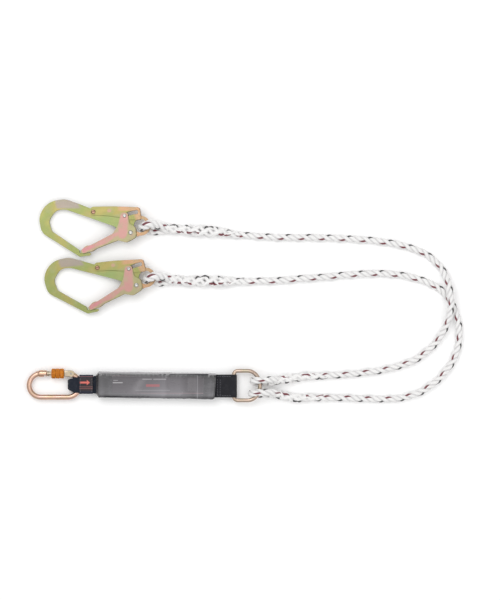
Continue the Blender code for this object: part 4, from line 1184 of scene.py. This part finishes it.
def tag_look():
    """Dark coated cloth with an inner panel, three fine rules, and a plain arrow."""
    look = Look("direction_tag", (0.03, 0.032, 0.06), 0.5, Sheen_Weight=0.05, Specular_IOR_Level=0.3)
    x, y = look.axis("X"), look.minus(look.axis("Y"), TAG_SHIFT * MM)
    colour = look.mix(look.between(y, -0.0125, 0.0135, 0.0008), (0.012, 0.014, 0.03), (0.03, 0.022, 0.025))
    for low, high, strength in ((0.0148, 0.0156, 0.4), (-0.0052, -0.0044, 0.5), (-0.0086, -0.0078, 0.5)):
        colour = look.tint(colour, look.between(y, low, high, 0.0002), strength, (0.62, 0.22, 0.2))
    off = look.math("ABSOLUTE", look.minus(y, 0.0036))
    shaft = look.box(x, off, (-0.1455, -0.1315), (-0.0018, 0.0018), 0.0003, 0.0003)
    cone = look.plus(off, look.times(look.plus(x, 0.1262), 0.85))
    head = look.box(cone, x, (-0.05, 0.0), (-0.1322, -0.12), 0.0003, 0.0003)
    colour = look.mix(look.math("MAXIMUM", shaft, head), colour, (0.68, 0.16, 0.13))
    cloth = weave(look, 0.7, 0.7)
    wear = look.noise(look.coords(), 150.0, 4.0)
    colour = look.mix(look.ramp(wear, (0.5, 0.0), (0.8, 0.12)), colour, (0.12, 0.12, 0.14))
    return look.set(Base_Color=colour, Roughness=look.ramp(wear, (0.3, 0.4), (0.8, 0.65)),
                    Normal=look.bump(cloth, 0.0002, 0.5))


def crease(x, y, z):
    """How far the film stands out at a point, in millimetres."""
    swell = 0.55 * noise.noise(Vector((x / 38, y / 24, z / 24)))
    bend = x + 6 * noise.noise(Vector((y / 18, x / 40, 3.7)))
    ridge = 1 - abs(noise.noise(Vector((bend / 8, y / 40, z / 30 + 9))) * 2.4)
    strength = 0.25 + 0.75 * math.exp(-((x - 22) / 9) ** 2) + 0.8 * math.exp(-((abs(x) - 112) / 12) ** 2)
    corner = math.exp(-((x - 53) / 12) ** 2 - ((y + 20) / 9) ** 2)
    slant = max(0.0, math.sin((x * 0.8 - y) / 2.1)) * corner * 0.7
    return swell + 0.55 * max(0.0, ridge) ** 2 * strength + slant


def lean(points):
    """The pack lies slightly turned, with its right-hand end cut at a slant."""
    x, y = points[..., 0].copy(), points[..., 1].copy()
    points[..., 0] += y / (PACK_WIDTH / 2) * END_SLANT * ease(x, 70, 115)
    points[..., 1] -= x * math.tan(PACK_SLANT)
    return points


def make_wrap(film):
    """The film: a rounded box with its left end gathered and its right end closed."""
    half_l, sides = PACK_LENGTH / 2, 220
    x = np.concatenate([np.linspace(-half_l + 0.8, -half_l + 6, 14),
                        np.linspace(-half_l + 6.8, half_l - 3, 260), np.linspace(half_l - 2.6, half_l, 8)])
    unit = circle(1.0, sides)
    away = np.sign(unit) * np.abs(unit) ** (2 - 2 / PACK_SQUARENESS)
    unit = np.sign(unit) * np.abs(unit) ** (2 / PACK_SQUARENESS)
    away /= np.linalg.norm(away, axis=1)[:, None]
    rings = []
    for at in x:
        neck = float(ease(at, -half_l, -half_l + 7))
        shut = float(ease(at, half_l + 1.5, half_l - 4))
        wide = FILM_HALF[0] * (0.7 + 0.3 * neck) * (0.94 + 0.06 * shut)
        tall = FILM_HALF[1] * (0.42 + 0.58 * neck) * (0.8 + 0.2 * shut)
        ring = np.stack([np.full(sides, at), unit[:, 0] * wide, PACK_Z + unit[:, 1] * tall], axis=1)
        out = np.stack([crease(*point) for point in ring])
        ring[:, 1:] += away * (out * (0.3 + 0.7 * neck))[:, None]
        rings.append(ring)
    rings = grounded(lean(np.array(rings)))
    wrap = skin("film_wrap", [(rings, (x + half_l) * UV_SCALE, 0, False)])
    assign(wrap, "absorber", "absorber_cover", "film", film)
    return wrap


def make_label(label, wrap):
    """The label, following the film's creases and sinking into it at its edges."""
    columns, rows = 60, 200
    across = np.linspace(*LABEL_Y, columns)
    wide, tall = FILM_HALF
    height = tall * (1 - np.abs(across / wide) ** PACK_SQUARENESS) ** (1 / PACK_SQUARENESS)
    rings = []
    for at in np.linspace(*LABEL_X, rows):
        rise = np.array([crease(at, y, PACK_Z + h) for y, h in zip(across, height)])
        inset = np.minimum(np.minimum(across - LABEL_Y[0], LABEL_Y[1] - across),
                           min(at - LABEL_X[0], LABEL_X[1] - at))
        lift = 0.46 * ease(inset, 0, 1.6) - 0.14
        top = np.stack([np.full(columns, at), across, PACK_Z + height + rise + lift], axis=1)
        rings.append(np.concatenate([top, top[::-1] - (0, 0, LABEL_T)]))
    sheet = skin("label_sheet", [(lean(np.array(rings)), np.linspace(0, 1, rows + 1), 0, False)])
    assign(sheet, "absorber", "instruction_label", "label", label)


def make_tear_webbing(look):
    """The tear webbing, folded to and fro inside the film."""
    pitch = (PACK_HEIGHT - 2 * 2.6) / (TEAR_LAYERS - 1) * 0.97
    reach = TEAR_LENGTH / 2 - 2.5
    route = []
    for layer in range(TEAR_LAYERS):
        z = PACK_Z + (layer - (TEAR_LAYERS - 1) / 2) * pitch
        side = 1 if layer % 2 else -1
        route += [(side * reach * part, z) for part in (1, 0.5, 0, -0.5, -1)]
        if layer < TEAR_LAYERS - 1:
            route.append((-side * (reach + pitch / 2), z + pitch / 2))
    fold = strap("tear_webbing_fold", route, TEAR_WIDTH, TEAR_WIDTH, thick=pitch - 0.35, step=2.0)
    assign(fold, "absorber", "tear_webbing_pack", "webbing", look)


def strap(name, route, above, below, mid_y=0.0, thick=WEB_T, step=1.2):
    """Webbing along a route of (x, z). above and below are its widths, as if whole, on the two sides
    of its middle line: one value each, or tables of widths against x."""
    path = smooth_path([(x, 0.0, z) for x, z in route], step)
    run = lengths(path)
    along = np.gradient(path, axis=0)
    along /= np.linalg.norm(along, axis=1)[:, None]
    normal = np.stack([-along[:, 2], np.zeros(len(path)), along[:, 0]], axis=1)
    steps, edge = np.linspace(-1, 1, 22), thick / 2
    turn = np.radians(np.linspace(90, -90, 7))[1:-1]
    section = [(s, edge, 0.0) for s in steps]
    section += [(1.0, edge * math.sin(a), edge * math.cos(a)) for a in turn]
    section += [(s, -edge, 0.0) for s in steps[::-1]]
    section += [(-1.0, edge * math.sin(-a), -edge * math.cos(a)) for a in turn]
    share, height, past = np.array(section).T
    rings = []
    for point, up in zip(path, normal):
        sides = [(np.interp(point[0], *w) if isinstance(w, tuple) else w) / 2 - edge for w in (above, below)]
        y = mid_y + np.where(share > 0, share * sides[0], share * sides[1]) + past
        rings.append(np.stack([point[0] + up[0] * height, y, point[2] + up[2] * height], axis=1))
    web = skin(name, [(grounded(np.array(rings)), np.append(run, run[-1]) * UV_SCALE, 0, False)])
    return web


def loop_route(tail_x, eye_x, eye_z, eye_r, towards, slack=0.0):
    """A webbing loop's two layers: side by side at the tail, and round an eye at the end."""
    apart, r = (WEB_T + LAYER_GAP) / 2, eye_r + EYE_GAP + WEB_T / 2
    end_x = eye_x + towards * slack
    start = [(tail_x + towards * at, PACK_Z + apart) for at in (0, 8, 14)]
    bend = [(end_x + towards * r * math.cos(math.radians(a)), eye_z + r * math.sin(math.radians(a)))
            for a in range(90, -91, -15)]
    top, bottom = (eye_x - towards * 6, eye_z + r), (eye_x - towards * 6, eye_z - r)
    finish = [(x, 2 * PACK_Z - z) for x, z in start[::-1]]
    return start + [top] + bend + [bottom] + finish


def stitches(name, rows, height, thread, body):
    """Rows of stitches lying on the webbing: each row is a pair of ends (x, y)."""
    places = [0.0, 0.35, STITCH / 2, STITCH - 0.35, STITCH]
    sag = np.array([-0.35, 0.05, 0.12, 0.05, -0.35])
    parts = []
    for (x0, y0), (x1, y1) in rows:
        length = math.hypot(x1 - x0, y1 - y0)
        along = np.array([(x1 - x0) / length, (y1 - y0) / length, 0.0])
        for k in range(int(length // (STITCH + STITCH_GAP))):
            first = np.array([x0, y0, 0.0]) + along * (k * (STITCH + STITCH_GAP) + 0.5)
            path = np.array([first + along * s for s in places])
            path[:, 2] = height(path[:, 0]) + sag
            parts.append((swept(path, circle(THREAD_R, 8)), np.arange(6) * 0.1, 0, False))
    made = skin(name, parts)
    dress(made, thread)
    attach(made, body)


def make_front_webbing(look):
    """The loop through the carabiner. It narrows to its end, more on its near side."""
    eye_x = BEND_X[0] + BEND_R
    slack = eye_x - FRONT_END_X - CARABINER_WIRE_R - 0.3 - WEB_T
    route = loop_route(-PACK_TAIL_X, eye_x, CARABINER_Z, CARABINER_WIRE_R, -1, slack)
    far_side = (-169.6, -167.5, -161, -156, -122, -117), (16.8, 22, 24.8, 30.4, 30.4, 36)
    near_side = (-169.6, -163, -157, -150, -122, -117), (15, 22.8, 29, 30, 30, 33.2)
    loop = strap("front_webbing", route, far_side, near_side, FRONT_Y)
    dress(loop, look)
    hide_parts("front_webbing_loop")
    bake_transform(loop)


def make_rear_webbing(look, thread):
    """The loop round the ring's straight bar, sewn in a box."""
    route = loop_route(PACK_TAIL_X, RING_BAR_X, RING_BAR_Z, RING_WIRE_R, 1)
    loop = strap("rear_webbing", route, REAR_WIDTH, REAR_WIDTH, REAR_Y)
    assign(loop, "absorber", "rear_webbing_loop", "webbing", look)

    def top(x):
        low = PACK_Z + (WEB_T + LAYER_GAP) / 2 + WEB_T / 2
        high = PACK_Z + RING_WIRE_R + EYE_GAP + WEB_T
        return low + (high - low) * ease(x, PACK_TAIL_X + 14, RING_BAR_X - 7) + 0.1

    rows = [((118, REAR_Y + y), (146, REAR_Y + y)) for y in (-18.5, 18.5)]
    rows += [((x, REAR_Y - 18), (x, REAR_Y + 18)) for x in (119, 124.5)]
    stitches("rear_stitching", rows, top, thread, "absorber")


def make_tag(look, thread):
    """The tag: a flat band round both layers of the front loop, sewn across at both ends."""
    reach = CARABINER_WIRE_R + 0.3 + WEB_T + 0.3
    low, high, side = CARABINER_Z - reach, CARABINER_Z + reach + 0.6, TAG_WIDTH / 2
    outer, inner = [
        rounded([(-side + wall, low - gap, r), (side - wall, low - gap, r), (side - wall, high + gap, r),
                 (-side + wall, high + gap, r)])
        for wall, gap, r in ((0, TAG_WALL, 3), (TAG_WALL, 0, 2))
    ]
    left, right = TAG_X
    band = bevelled(plate("tag_band", outer, left, right, [inner]), 0.35, 3, 50)
    band.data.transform(Matrix(((0, 0, 1, 0), (1, 0, 0, TAG_SHIFT * MM), (0, 1, 0, 0), (0, 0, 0, 1))))
    assign(band, "front_loop", "direction_tag", "tag", look)
    rows = [((x, TAG_SHIFT - side + 3), (x, TAG_SHIFT + side - 3)) for x in (left + 1.6, right - 1.6)]
    stitches("tag_stitching", rows, lambda x: high + TAG_WALL + 0.12 + 0 * x, thread, "front_loop")


# ---------------------------------------------------------------- the whole

make_stage()
ROPE_LOOKS = (
    rope_look("rope_white"),
    rope_look("rope_black_tracer", (0.012, 0.01, 0.012), BLACK_ANGLE),
    rope_look("rope_maroon_tracer", (0.16, 0.012, 0.025), MAROON_ANGLE),
)
for leg_side in ROUTES:
    make_leg(leg_side)

METALS = {
    "plated": plated_look("pink_gold_plating", (0.66, 0.43, 0.31), (0.62, 0.4, 0.34), (0.5, 0.41, 0.24)),
    "fork": plated_look("pale_gold_plating", (0.5, 0.42, 0.31), (0.47, 0.39, 0.31), (0.42, 0.36, 0.22)),
    "ring": plated_look("grey_gold_plating", (0.5, 0.41, 0.33), (0.52, 0.39, 0.32), (0.37, 0.36, 0.24)),
    "gate": gate_look(),
    "hook": hook_look(),
    "steel": steel_look("bright_steel", (0.3, 0.295, 0.28), (0.5, 0.49, 0.475)),
    "brown": steel_look("brown_rivet", (0.2, 0.11, 0.07), (0.36, 0.22, 0.16)),
    "sleeve": sleeve_look(),
}
for hook_side in HOOKS:
    make_hook(hook_side, METALS)
make_carabiner(METALS)
make_ring(METALS)
BLACK_WEBBING = webbing_look("black_webbing", (0.009, 0.009, 0.012), (0.026, 0.026, 0.033))
NAVY_WEBBING = webbing_look("navy_webbing", (0.006, 0.009, 0.018), (0.016, 0.023, 0.04))
THREAD = thread_look()
make_front_webbing(NAVY_WEBBING)
make_rear_webbing(BLACK_WEBBING, THREAD)
make_tag(tag_look(), THREAD)
make_label(label_look(), make_wrap(film_look()))
make_tear_webbing(BLACK_WEBBING)
